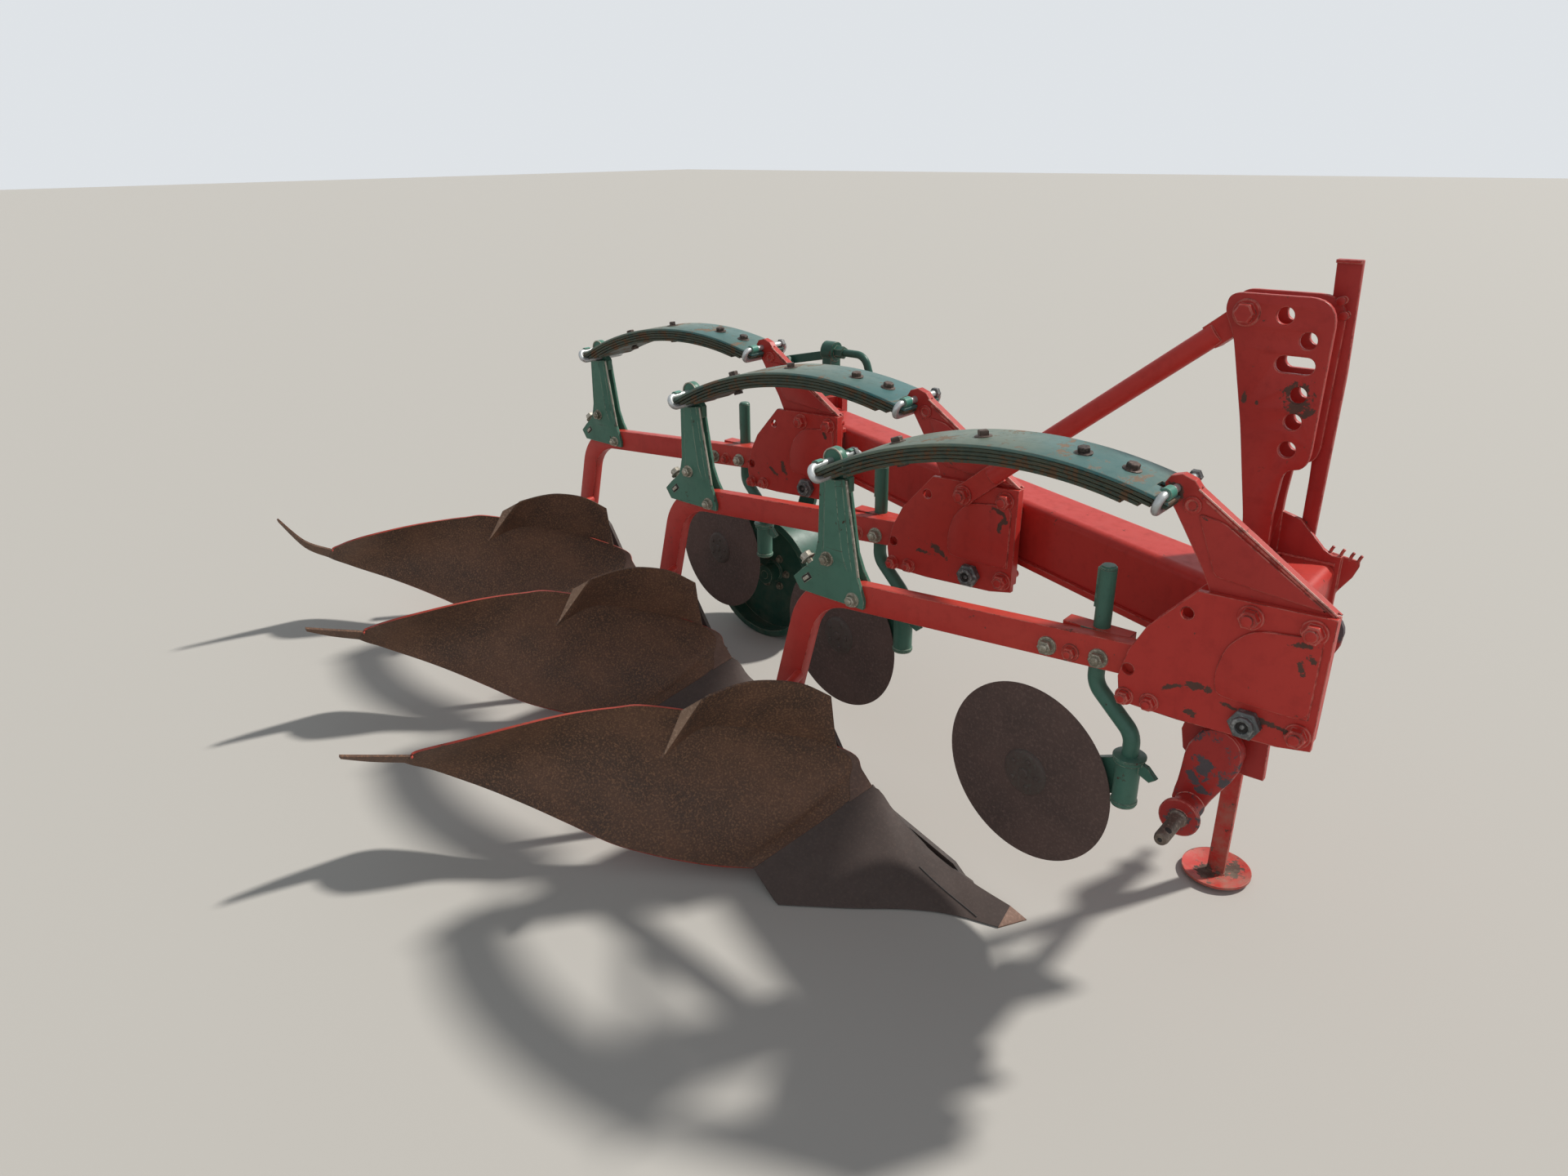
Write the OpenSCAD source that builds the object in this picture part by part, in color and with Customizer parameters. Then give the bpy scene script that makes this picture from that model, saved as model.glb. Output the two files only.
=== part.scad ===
// Three-furrow mounted mouldboard plough with leaf-spring reset legs, disc coulters,
// a parking stand and a depth wheel. X points forward, Y to the land side, Z up.
// Lengths along X are first given from the leg pivot of the front body, Y from the
// outer face of its near side plate, Z from the ground, and moved to the centre last.

/* [Layout] */
// Number of plough bodies
body_count = 3; // [1:1:3]
// Distance between bodies along the direction of travel
body_pitch = 750; // [700:5:800]
// Working width of one body
furrow_w = 300; // [290:1:320]
// Height of the underside of the main beam
beam_z = 717; // [700:1:740]

/* [Main frame] */
// Height of the box section
beam_h = 153; // [140:1:165]
// Width of the box section
beam_w = 130; // [110:1:140]
// Wall of the box section
beam_wall = 8; // [5:0.5:12]
// Outer corner radius of the box section
beam_r = 20; // [12:1:28]
// Front face of the cross beam ahead of the leg pivot
cross_front = 14; // [10:1:30]
// Width of the cross beam
cross_w = 114; // [100:1:130]

/* [Side plates] */
// Thickness of a side plate
plate_t = 12; // [8:0.5:14]
// Running gap beside the leg
leg_gap = 2; // [1:0.5:4]
// Height of the leg pivot
pivot_z = 687; // [680:1:695]
// Diameter of the leg pivot bolt
pivot_d = 36; // [28:1:40]

/* [Leg] */
// Thickness of the leg bar
leg_t = 32; // [28:1:36]
// Height of the leg bar
leg_h = 68; // [60:1:76]

/* [Leaf spring] */
// Width of the leaves
leaf_w = 150; // [130:1:156]
// Thickness of one leaf
leaf_t = 7; // [5:0.5:8]
// Spacing from one leaf to the next
leaf_step = 8; // [8:0.25:10]
// Radius of the top leaf
leaf_r = 996; // [980:1:1010]

/* [Disc coulter] */
// Diameter of the disc
disc_d = 422; // [400:1:424]
// Thickness of the disc
disc_t = 5; // [4:0.5:7]
// Diameter of the coulter stem
stem_d = 34; // [30:1:38]
// Outer diameter of the swivel sleeve
sleeve_d = 50; // [46:1:50]
// Toe-in of the disc
coulter_toe = 8; // [4:0.5:10]
// Running clearance between a pin and its bore, on the radius
fit = 0.05; // [0.02:0.01:0.1]

/* [Headstock] */
// Thickness of a headstock plate
mast_t = 12; // [10:0.5:16]
// Clear gap between the headstock plates
mast_gap = 56; // [52:1:60]
// Centre of the headstock from the near side plate
mast_y = 370; // [360:1:380]
// Diameter of the top-link holes
toplink_d = 32; // [26:0.5:34]

/* [Lower links] */
// Diameter of the cross shaft
shaft_d = 50; // [44:1:56]
// Height of the cross shaft
shaft_z = 600; // [596:1:602]
// Height of the lower-link pins
pin_z = 470; // [460:1:480]
// Diameter of the lower-link pins
pin_d = 28; // [26:0.5:30]
// Usable length of a lower-link pin
pin_len = 90; // [70:1:100]

/* [Parking stand] */
// Width of the stand bar
stand_w = 40; // [36:1:42]
// Thickness of the stand bar
stand_t = 14; // [12:1:20]

/* [Depth wheel] */
// Diameter of the wheel
wheel_d = 460; // [440:1:470]
// Width of the rim
wheel_w = 150; // [130:1:160]
// Diameter of the wheel arm's pivot
arm_pivot_d = 40; // [36:1:44]

/* [Soil-wearing parts] */
// Thickness of the mouldboard
board_t = 8; // [6:0.5:10]
// Thickness of the share
share_t = 10; // [8:0.5:12]
// Thickness of the landside
landside_t = 12; // [10:0.5:14]

/* [Hidden] */

red = "firebrick";
green = "darkgreen";
teal = "lightseagreen";
steel = "silver";
worn = "saddlebrown";

// Places that the whole plough is built from
skew = atan(furrow_w / body_pitch);
beam_near = 100;
cross_back = cross_front - cross_w;
cross_end_y = mast_y + mast_gap / 2 - 0.3;
leg_y = plate_t + leg_gap;
far_plate_y = leg_y + leg_t + leg_gap;
mid_y = leg_y + leg_t / 2;
seat = 0.3;
front_x = 111;
tail_x = -1752.06;
tail_y = -852;
wheel_x = -1880;
wheel_y = 880;
wheel_side_y = 985;
origin_x = (tail_x - (body_count - 1) * body_pitch + front_x) / 2;
origin_y = (wheel_side_y + tail_y) / 2;

// Moves from the leg-pivot frame to the centre of the ground outline
module placed() {
    translate([-origin_x, -origin_y, 0]) children();
}

// Repeats a piece on body number k, counted from the front
module on_body(k) {
    placed() translate([-k * body_pitch, k * furrow_w, 0]) children();
}

// Plate parallel to the side plates: its outline in X and Z, from y to y + t
module side_plate(y, t) {
    translate([0, y + t, 0]) rotate([90, 0, 0]) linear_extrude(t) children();
}

// Round bar along Y
module cross_bar(x, z, y0, y1, d) {
    translate([x, y1, z]) rotate([90, 0, 0]) cylinder(h = y1 - y0, d = d, $fn = 48);
}

// Hexagon head or nut on a side plate, with its washer, facing the near side
module near_nut(x, z, y, across) {
    translate([x, y, z]) rotate([90, 0, 0]) {
        cylinder(h = across * 0.12, d = across * 1.45, $fn = 32);
        cylinder(h = across * 0.62, d = across * 1.15, $fn = 6);
    }
}

// Round bar from point a to point b
module rod(a, b, d) {
    v = b - a;
    turn = atan2(v[1], v[0]);
    lean = acos(v[2] / norm(v));
    translate(a) rotate([0, lean, turn]) cylinder(h = norm(v), d = d, $fn = 32);
}

module rounded_box(w, h, r) {
    translate([r, 0]) square([w - 2 * r, h]);
    translate([0, r]) square([w, h - 2 * r]);
    for (x = [r, w - r], y = [r, h - r]) translate([x, y]) circle(r = r, $fn = 48);
}

module box_section(w) {
    difference() {
        rounded_box(w, beam_h, beam_r);
        translate([beam_wall, beam_wall])
            rounded_box(w - 2 * beam_wall, beam_h - 2 * beam_wall, beam_r - beam_wall);
    }
}

// Diagonal main beam, closed at its rear end
beam_rear = -1830 - (body_count - 3) * norm([body_pitch, furrow_w]);
module main_beam() {
    color(red) placed() difference() {
        rotate([0, 0, -skew]) translate([beam_rear, beam_near, beam_z]) {
            rotate([90, 0, 90]) linear_extrude(-beam_rear + 200) box_section(beam_w);
            rotate([90, 0, 90]) linear_extrude(beam_wall) rounded_box(beam_w, beam_h, beam_r);
        }
        translate([cross_back, -300, 0]) cube([600, 2000, 2000]);
    }
}

// Cross beam under the headstock, mitred to the near face of the main beam
module cross_beam() {
    color(red) placed() difference() {
        translate([cross_back, 0, beam_z]) {
            translate([0, cross_end_y, 0]) rotate([90, 0, 0]) linear_extrude(cross_end_y) box_section(cross_w);
            translate([0, cross_end_y, 0]) rotate([90, 0, 0])
                linear_extrude(beam_wall) rounded_box(cross_w, beam_h, beam_r);
            translate([0, beam_near + 40, 0]) rotate([90, 0, 0])
                linear_extrude(90) rounded_box(cross_w, beam_h, beam_r);
        }
        rotate([0, 0, -skew]) translate([-600, beam_near - 600, 0]) cube([1400, 600 + seat, 2000]);
    }
}

// Outline of a side plate, from its front foot round by the top
plate_outline = [[111, 668], [55, 657], [-122, 648], [-236, 649], [-244, 701], [-230, 760],
    [-201, 818], [-119, 911], [107, 919]];
// Bolts through both plates: x, z, size across flats
plate_bolts = [[-24, 887, 30], [80, 889, 30], [-226, 663, 24], [-177, 666, 24], [86, 692, 30]];
free_holes = [[-226, 721], [-132, 864]];
function bolt_d(b) = b[2] * 0.7;

// front: how far the front edge stands back from the outline's
module plate_blank(grow, front) {
    difference() {
        polygon(plate_outline);
        translate([plate_outline[0][0] - front, 600]) square([50, 400]);
        for (h = free_holes) translate(h) circle(d = 24, $fn = 32);
        translate([0, pivot_z]) circle(d = pivot_d + 2 * grow, $fn = 48);
    }
}

// standoff: how far the first bolt's head stands off, for what is bolted under it
module carrier(standoff = 0) {
    wedge_y = far_plate_y + plate_t;
    color(red) {
        side_plate(0, plate_t) plate_blank(fit, 0);
        side_plate(far_plate_y, plate_t) plate_blank(fit, 23);
        side_plate(-4, 4) polygon([[97, 726], [97, 880], [5, 868], [-16, 860], [-35, 844], [-54, 816], [-64, 773],
            [-62, 741], [-54, 726]]);
        for (i = [0 : len(plate_bolts) - 1]) {
            b = plate_bolts[i];
            out = i == 0 ? -standoff : 0;
            cross_bar(b[0], b[1], out, wedge_y + 4, bolt_d(b));
            near_nut(b[0], b[1], out, b[2]);
        }
        for (w = [[-190, beam_z], [-118, beam_z + beam_h - plate_t]]) translate([0, 0, w[1]]) difference() {
            translate([w[0], wedge_y, 0]) cube([88 - w[0], 200, plate_t]);
            rotate([0, 0, -skew]) translate([-400, beam_near, -1]) cube([800, 400, plate_t + 2]);
        }
        translate([111 - plate_t, 0, 684]) cube([plate_t, 24, 235]);
    }
}

// Triangular spring bracket standing between the side plates, with a nose for the front bow
nose_t = 20;
module spring_bracket() {
    outline = [[-101, 860], [98, 860], [98, 919.3], [110, 919.3], [-145, 1091], [-157, 1105], [-180, 1113],
        [-200, 1107], [-209, 1093], [-203, 1071], [-184, 1046], [-159, 1007], [-121, 947], [-103, 911]];
    color(red) {
        for (y = [plate_t + seat, plate_t + seat + 14]) side_plate(y, 6) difference() {
            polygon(outline);
            for (b = plate_bolts) translate([b[0], b[1]]) circle(d = bolt_d(b) + 2 * fit, $fn = 32);
            bow_holes(0);
        }
        for (c = [[-155, 1061, 16], [-180, 1083, 34]]) side_plate(plate_t + seat, nose_t) difference() {
            intersection() {
                polygon(outline);
                translate([c[0], c[1]]) circle(r = c[2], $fn = 32);
            }
            bow_holes(0);
        }
        side_plate(plate_t + seat + 6, 8) polygon([[104, 923.3], [92, 923.3], [-145, 1079], [-145, 1091]]);
    }
}

// Centre line of the leg bar: front, bend radius and angles, foot
leg_slope = 4.2;
bend_r = 150;
bend_turn = 71;
bend_x = -900;
bend_z = 683;
function leg_arc(r) = [for (a = [0 : 8]) let (t = 90 + leg_slope + a * bend_turn / 8)
    [bend_x + r * cos(t), bend_z - bend_r + r * sin(t)]];
function leg_foot(r) = let (t = 90 + leg_slope + bend_turn)
    [bend_x + r * cos(t) + 300 * cos(t + 90), bend_z - bend_r + r * sin(t) + 300 * sin(t + 90)];

module leg() {
    outer = bend_r + leg_h / 2;
    inner = bend_r - leg_h / 2;
    rise = tan(leg_slope);
    color(red) side_plate(leg_y, leg_t) difference() {
        union() {
            polygon(concat([[40, bend_z + leg_h / 2 + (40 - bend_x) * rise]], leg_arc(outer),
                [leg_foot(outer), [-1110, 230], [-1100, 130], [-1000, 130], [-1010, 230], leg_foot(inner)],
                [for (i = [8 : -1 : 0]) leg_arc(inner)[i]],
                [[-60, bend_z - leg_h / 2 + (-60 - bend_x) * rise], [40, pivot_z]]));
            translate([0, pivot_z]) circle(r = 38, $fn = 64);
        }
        translate([0, pivot_z]) circle(d = pivot_d + 2 * fit, $fn = 48);
    }
    color(steel) {
        cross_bar(0, pivot_z, 0, far_plate_y + plate_t, pivot_d);
        near_nut(0, pivot_z, 0, 50);
        for (b = [[-292, 717, 27], [-350, 712, 24], [-401, 711, 27]]) near_nut(b[0], b[1], leg_y, b[2]);
    }
}

// Green two-plate bracket that holds the rear end of the leaf spring on the leg, by an ear
// that stands up through the leaves
ear_t = 20;
module leg_bracket() {
    color(green) {
        // near and far plate: y, and how far the upright's front edge stands back
        for (p = [[leg_y - 10, 0], [leg_y + leg_t, 22]]) side_plate(p[0], 10) difference() {
            polygon([[-911 - p[1], 965], [-982, 959], [-986, 805], [-998, 752], [-1058, 701], [-1060, 688],
                [-1035, 665], [-990, 679], [-929, 668], [-854, 665], [-850, 684], [-874 - p[1] / 2, 740],
                [-880 - p[1], 781]]);
            translate([-1030, 690]) rotate(40) square([26, 12]);
            bow_holes(1);
        }
        side_plate(leg_y, leg_t) polygon([[-935, 950], [-980, 946], [-980, 934], [-935, 938]]);
        side_plate(mid_y - ear_t / 2, ear_t) difference() {
            union() {
                polygon([[-911, 962], [-911, 930], [-975, 930], [-984, 1000], [-930, 1000]]);
                translate([-957, 1000]) circle(r = 27, $fn = 48);
            }
            bow_holes(1);
        }
    }
    color(steel) {
        for (b = [[-952, 770], [-884, 682]]) near_nut(b[0], b[1], leg_y - 10, 24);
        cross_bar(-1015, 722, leg_y - 5, leg_y + leg_t + 5, 16);
        translate([-1018, mid_y, 725]) rotate([0, -50, 0]) cylinder(h = 45, d = 24, $fn = 6);
    }
}

// Leaf spring: arcs about one centre, held together by four clip bolts
spring_tilt = 6.9;
spring_apex = [-587.6, 1110.8];
// Angles from the apex to the spring's front and rear end, and from there back to a shackle
front_angle = 23.9;
rear_angle = 23.3;
shackle_back = 0.78;
// Share of those angles that each leaf spans, from the top
leaf_span = [1, 1, 0.93, 0.88, 0.8];
module at_spring() {
    translate([spring_apex[0] + sin(spring_tilt) * leaf_r, mid_y, spring_apex[1] - cos(spring_tilt) * leaf_r])
        children();
}

module leaf(r, from, to) {
    rotate([90, 0, 0]) rotate([0, 0, from]) rotate_extrude(angle = to - from, $fn = 180)
        translate([r - leaf_t, 0]) square([leaf_t, leaf_w]);
}

// Notch from a spring end for an angle back: the bracket's nose or ear stands in it
module end_notch(end, y, thick, back) {
    rotate([90, 0, 0]) rotate([0, 0, 90 - end - (back < 0 ? 3 : 0)]) rotate_extrude(angle = abs(back) + 3, $fn = 180)
        translate([leaf_r - 60, -y - thick / 2 - 2]) square([80, thick + 4]);
}

module leaf_spring() {
    at_spring() {
        for (i = [0 : len(leaf_span) - 1]) color(i == 0 ? teal : green) difference() {
            translate([0, leaf_w / 2, 0]) leaf(leaf_r - i * leaf_step,
                90 + spring_tilt - front_angle * leaf_span[i], 90 + spring_tilt + rear_angle * leaf_span[i]);
            end_notch(front_angle - spring_tilt, plate_t + seat + nose_t / 2 - mid_y, nose_t, 2.6);
            end_notch(-rear_angle - spring_tilt, 0, ear_t, -3.2);
        }
        color(steel) for (a = [-12.1, 0, 12.3, 17.9]) rotate([0, a - spring_tilt, 0])
            translate([0, 0, leaf_r - len(leaf_span) * leaf_step]) {
                cylinder(h = len(leaf_span) * leaf_step + 4, d = 16, $fn = 24);
                translate([0, 0, len(leaf_span) * leaf_step]) cylinder(h = 12, d = 26, $fn = 6);
            }
    }
}

// Round-bar bows that loop round the two upper leaves, one near each end of the spring
bow_d = 16;
bow_top = leaf_r + bow_d / 2 + seat;
bow_low = leaf_r - leaf_step - leaf_t - bow_d / 2 - seat;
module bow() {
    r = (bow_top - bow_low) / 2;
    half = leaf_w / 2;
    translate([0, 0, (bow_top + bow_low) / 2]) {
        for (z = [-r, r]) translate([0, -half, z]) rotate([-90, 0, 0]) cylinder(h = 2 * half, d = bow_d, $fn = 32);
        for (a = [0, 180]) rotate([0, 0, a]) translate([0, half, 0]) rotate([0, 90, 0])
            rotate_extrude(angle = 180, $fn = 48) translate([r, 0]) circle(d = bow_d, $fn = 32);
    }
}
// Angles of the two bows from the upright
bow_angles = [front_angle - shackle_back - spring_tilt, shackle_back - rear_angle - spring_tilt];
// Holes for the bars of one bow, in X and Z from the leg pivot
module bow_holes(i) {
    centre = [spring_apex[0] + sin(spring_tilt) * leaf_r, spring_apex[1] - cos(spring_tilt) * leaf_r];
    for (r = [bow_top, bow_low]) translate(centre + r * [sin(bow_angles[i]), cos(bow_angles[i])])
        circle(d = bow_d + 2 * seat, $fn = 32);
}
module shackles() {
    color(steel) for (k = [0 : body_count - 1]) on_body(k)
        at_spring() for (a = bow_angles) rotate([0, a, 0]) bow();
}

// Coulter stem: a round bar clamped to the leg, cranked forward to the swivel
stem_x = -314;
stem_y = leg_y + leg_t + 22;
swivel_x = -214;
swivel_y = 42;
swivel_top = 515;
swivel_low = 400;
reach = 238;
hub_z = 362;
crank_r = 42;
crank_turn = 55;
crank_z = 655;
// Elbow in the X-Z plane about the origin, from one angle through a turn
module elbow(r, from, turn, d) {
    rotate([90, 0, 0]) rotate([0, 0, from]) rotate_extrude(angle = turn, $fn = 48)
        translate([r, 0]) circle(d = d, $fn = 32);
}
module coulter_stem() {
    side = swivel_x - stem_x;
    back = swivel_y - stem_y;
    step = norm([side, back]);
    run = step - 2 * crank_r * (1 - cos(crank_turn));
    low_z = crank_z - run / tan(crank_turn) - 2 * crank_r * sin(crank_turn);
    bow = crank_r * (1 - cos(crank_turn));
    drop = crank_r * sin(crank_turn);
    color(green) translate([stem_x, stem_y, 0]) {
        rotate([0, 0, atan2(back, side)]) {
            translate([0, 0, crank_z]) cylinder(h = 230, d = stem_d, $fn = 32);
            translate([crank_r, 0, crank_z]) elbow(crank_r, 180, crank_turn, stem_d);
            rod([bow, 0, crank_z - drop], [step - bow, 0, low_z + drop], stem_d);
            translate([step - crank_r, 0, low_z]) elbow(crank_r, 0, crank_turn, stem_d);
            translate([step, 0, swivel_low + 4]) cylinder(h = low_z - swivel_low - 4, d = stem_d, $fn = 32);
        }
        translate([-35, leg_y + leg_t - stem_y, 694]) cube([70, stem_d + 4, 66]);
    }
}

module coulter_arm() {
    hub_y = disc_t / 2 + 12;
    color(green) translate([swivel_x, swivel_y, 0]) rotate([0, 0, -coulter_toe]) {
        difference() {
            union() {
                translate([0, 0, swivel_low]) cylinder(h = swivel_top - swivel_low, d = sleeve_d, $fn = 64);
                translate([0, 0, swivel_top - 14]) cylinder(h = 14, d = sleeve_d + 12, $fn = 64);
                side_plate(-5, 10) polygon([[20, 509], [42, 505], [64, 486], [50, 474], [20, 484]]);
                side_plate(hub_y, 14) polygon([[0, 505], [0, 410], [-reach + 6, hub_z - 26],
                    [-reach - 24, hub_z - 12], [-reach - 24, hub_z + 14], [-reach + 6, hub_z + 28]]);
            }
            translate([0, 0, swivel_low + 4 - seat]) cylinder(h = swivel_top, d = stem_d + 2 * fit, $fn = 64);
        }
        cross_bar(-reach, hub_z, -disc_t / 2 - 8, hub_y, 25);
    }
}

module coulter_disc() {
    far = disc_t / 2 + 12 - seat;
    color(worn) translate([swivel_x, swivel_y, 0]) rotate([0, 0, -coulter_toe]) difference() {
        union() {
            cross_bar(-reach, hub_z, -disc_t / 2, disc_t / 2, disc_d);
            cross_bar(-reach, hub_z, -disc_t / 2 - 8, -disc_t / 2, 110);
            cross_bar(-reach, hub_z, disc_t / 2, far, 100);
        }
        cross_bar(-reach, hub_z, -disc_t / 2 - 20, far + 1, 25 + 2 * fit);
    }
}

// Cross-sections of the mouldboard from the share seam to the tail.
// Columns: lower edge x y z, upper edge x y z, hollow of the section in y and in z
board_rows = [
    [-968, -263, 45, -831, 30, 185, 0, 0],
    [-1030, -305, 46, -895, 28, 255, 26, -30],
    [-1093, -345, 50, -1001, -60, 312, 44, -42],
    [-1172, -395, 62, -1120, -165, 360, 56, -40],
    [-1262, -450, 80, -1258, -306, 404, 60, -30],
    [-1360, -485, 98, -1322, -360, 400, 52, -20],
    [-1470, -500, 112, -1400, -432, 390, 42, -12],
    [-1590, -515, 125, -1460, -520, 385, 32, -6],
    [-1690, -580, 152, -1540, -625, 362, 22, 0],
    [-1728, -630, 190, -1610, -672, 328, 10, 0],
    [-1738, -672, 220, -1670, -692, 297, 2, 0],
    [-1740, -694, 240, -1678, -708, 288, 0, 0]];
// Tail from there to its tip, which is set higher on the rear body
tail_rows = [[-1741, -694.4, 240.3, -1679, -708.4, 288.3, 0, 0], [-1752, -770, 275, -1712, -785, 312, 0, 0],
    [-1752, -842, 318, -1736, -852, 335, 0, 0]];
tail_lift = [0, 0, 105];
// Share against mouldboard: the ends of the seam between them
seam_low = [-968, -263, 45];
seam_top = [-831, 30, 185];
function seam(t) = seam_low + (seam_top - seam_low) * t + [0.4, 0, 0];
// Sections of the share from the point to the wing
share_rows = [
    [-396, 0, 3.4, -404, 36, 12, 0, 0],
    [-440, -26, 3.4, -537, 36, 34, 0, 0],
    [-511, -48, 3.4, -638, 34, 62, 0, -3],
    [-580, -78, 3.4, -747, 32, 121, 2, -6],
    concat([-650, -125, 3.4], seam(1), [4, -8]),
    concat([-717, -179, 3.4], seam(0.67), [6, -8]),
    concat([-790, -232, 3.4], seam(0.33), [4, -6]),
    concat([-869, -288, 3.4], seam(0), [0, 0])];
// Sections of the trashboard from the land side to its tip
trash_rows = [
    [-911, -14, 285, -925, -20, 430, 0, 0],
    [-950, -35, 305, -955, -90, 480, 0, 0],
    [-1000, -80, 322, -1000, -160, 502, 0, 0],
    [-1060, -150, 350, -1043, -212, 500, 0, 0],
    [-1120, -260, 380, -1072, -285, 488, 0, 0],
    [-1095, -445, 372, -1118, -330, 458, 0, 0]];
steps = 8;
toward_back = [-0.45, 0.72, -0.3];

function section(r) = [for (j = [0 : steps]) let (v = j / steps, h = 4 * v * (1 - v))
    [r[0] + (r[3] - r[0]) * v, r[1] + (r[4] - r[1]) * v + h * r[6], r[2] + (r[5] - r[2]) * v + h * r[7]]];
function between(a, b, t) = [for (i = [0 : 7]) a[i] + (b[i] - a[i]) * t];
function refine(rows, n) = [for (i = [0 : len(rows) - 2], k = [0 : n - 1]) between(rows[i], rows[i + 1], k / n),
    rows[len(rows) - 1]];

// Closed sheet: a grid of sections and the same grid shifted by the sheet's thickness
module sheet(rows, t, lift) {
    fine = refine(rows, 2);
    m = len(fine);
    n = steps + 1;
    front = [for (r = fine) for (p = section(r)) p + lift];
    back = [for (p = front) p + t * toward_back / norm(toward_back)];
    top = [for (i = [0 : m - 2], j = [0 : n - 2]) for (f = [
        [i * n + j, (i + 1) * n + j, i * n + j + 1],
        [(i + 1) * n + j, (i + 1) * n + j + 1, i * n + j + 1]]) f];
    o = m * n;
    under = [for (f = top) [f[0] + o, f[2] + o, f[1] + o]];
    loop = concat([for (i = [0 : m - 1]) i * n], [for (j = [1 : n - 1]) (m - 1) * n + j],
        [for (i = [m - 2 : -1 : 0]) i * n + n - 1], [for (j = [n - 2 : -1 : 1]) j]);
    rim = [for (i = [0 : len(loop) - 1]) let (a = loop[i], b = loop[(i + 1) % len(loop)])
        for (f = [[a, a + o, b], [b, a + o, b + o]]) f];
    polyhedron(points = concat(front, back), faces = concat(top, under, rim), convexity = 8);
}

module mouldboard(k) {
    color(worn) {
        sheet(board_rows, board_t, [0, 0, 0]);
        sheet([for (i = [0 : 2]) raised(tail_rows[i], tail_lift[k] * i * i / 4)], board_t, [0, 0, 0]);
    }
}
function raised(r, h) = [r[0] + h * 0.15, r[1] - h * 0.1, r[2] + h, r[3] + h * 0.15, r[4] - h * 0.1, r[5] + h, 0, 0];
module share() {
    color(worn) sheet(share_rows, share_t, [0, 0, 0]);
}
module trashboards() {
    for (k = [0 : body_count - 1]) on_body(k) {
        color(worn) sheet(trash_rows, 6, [12, -14, 6]);
        color(red) difference() {
            rod([-1052, leg_y + 10, 430], [-1008, -150, 425], 26);
            translate([-1200, leg_y - seat, 300]) cube([300, 100, 300]);
            sheet(trash_rows, cut, [12, -14, 6] - cut * toward_back / norm(toward_back));
        }
    }
}

// Frog: a cheek that backs the share and the front of the mouldboard, a web on the
// leg, a landside along the furrow wall and a stay to the tail of the mouldboard
landside_y = leg_y + leg_t;
cut = 300;
function back_of(t) = (t + seat * 2) * toward_back / norm(toward_back);
cheek_rows = [for (i = [1 : 6]) share_rows[i]];
module frog() {
    color(worn) {
        side_plate(landside_y, landside_t) polygon([[-1130, 0], [-1130, 120], [-1120, 330], [-1060, 380],
            [-1000, 330], [-920, 200], [-780, 120], [-600, 55], [-540, 0]]);
        difference() {
            union() {
                sheet(cheek_rows, 12, back_of(share_t));
                translate([-990, -330, 150]) cube([110, 330 + landside_y, 14]);
                translate([-830, -200, 40]) cube([14, 200 + landside_y, 90]);
                rod([-1100, landside_y, 60], [-1500, -420, 250], 34);
            }
            sheet(board_rows, cut, back_of(board_t - cut));
            sheet(share_rows, cut, back_of(share_t - cut));
            translate([-2000, -1000, -99.7]) cube([2000, 2000, 100]);
        }
    }
}
module frogs() {
    for (k = [0 : body_count - 1]) on_body(k) frog();
}

// Headstock plates with the top-link holes
mast_outline = [[-252, 1357], [-234, 1384], [-116, 1384], [-78, 1366], [-58, 1322], [-58, 1105],
    [-68, 1084], [-96, 1065], [-103, 980], [cross_back, 904], [cross_back, beam_z],
    [-160, beam_z], [-155, 940], [-192, 1138], [-231, 1306]];
mast_holes = [[-143, 1350], [-96, 1308], [-97, 1207], [-98, 1156], [-99, 1102]];
module mast_plate() {
    difference() {
        polygon(mast_outline);
        for (h = mast_holes) translate(h) circle(d = toplink_d, $fn = 48);
        translate([-132, 1246]) square([40, toplink_d]);
        for (x = [-132, -92]) translate([x, 1246 + toplink_d / 2]) circle(d = toplink_d, $fn = 48);
    }
}
module headstock() {
    near = mast_y - mast_gap / 2 - mast_t;
    color(red) placed() {
        side_plate(near, mast_t) mast_plate();
        side_plate(mast_y + mast_gap / 2, mast_t) mast_plate();
        side_plate(near, mast_gap + 2 * mast_t) polygon([[-150, 760], [-138, 760], [-138, 1000], [-150, 1000]]);
        side_plate(mast_y + mast_gap / 2, mast_t) polygon([[-150, beam_z], [23, beam_z], [21, 889], [3, 889],
            [-14, 898], [-65, 950], [-103, 960]]);
        side_plate(mast_y + mast_gap / 2 + mast_t, 6) difference() {
            polygon([[-57, beam_z + 20], [10, beam_z + 60], [23, 813], [45, 849], [53, 873], [50, 888],
                [-20, 904], [-57, 904]]);
            for (h = [[-2, 893], [16, 889], [35, 884]]) translate(h) circle(r = 7, $fn = 24);
        }
        cross_bar(-213, 1350, near - 4, mast_y + mast_gap / 2 + mast_t + 4, 28);
        near_nut(-213, 1350, near, 41);
    }
}

// Flat post with two pegs that carries the hoses
module hose_post() {
    y = mast_y + mast_gap / 2 + mast_t;
    color(red) placed() {
        side_plate(y, 12) polygon([[-103, beam_z], [-103, 1000], [-92, 1448], [-47, 1448], [-47, 1000],
            [-60, 940], [cross_back, 900], [cross_back, beam_z]]);
        translate([-92, y - 10, 1442]) cube([45, 22, 6]);
        cross_bar(-67, 1376, y - 24, y, 12);
        cross_bar(-58, 1350, y - 24, y, 12);
    }
}

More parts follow.
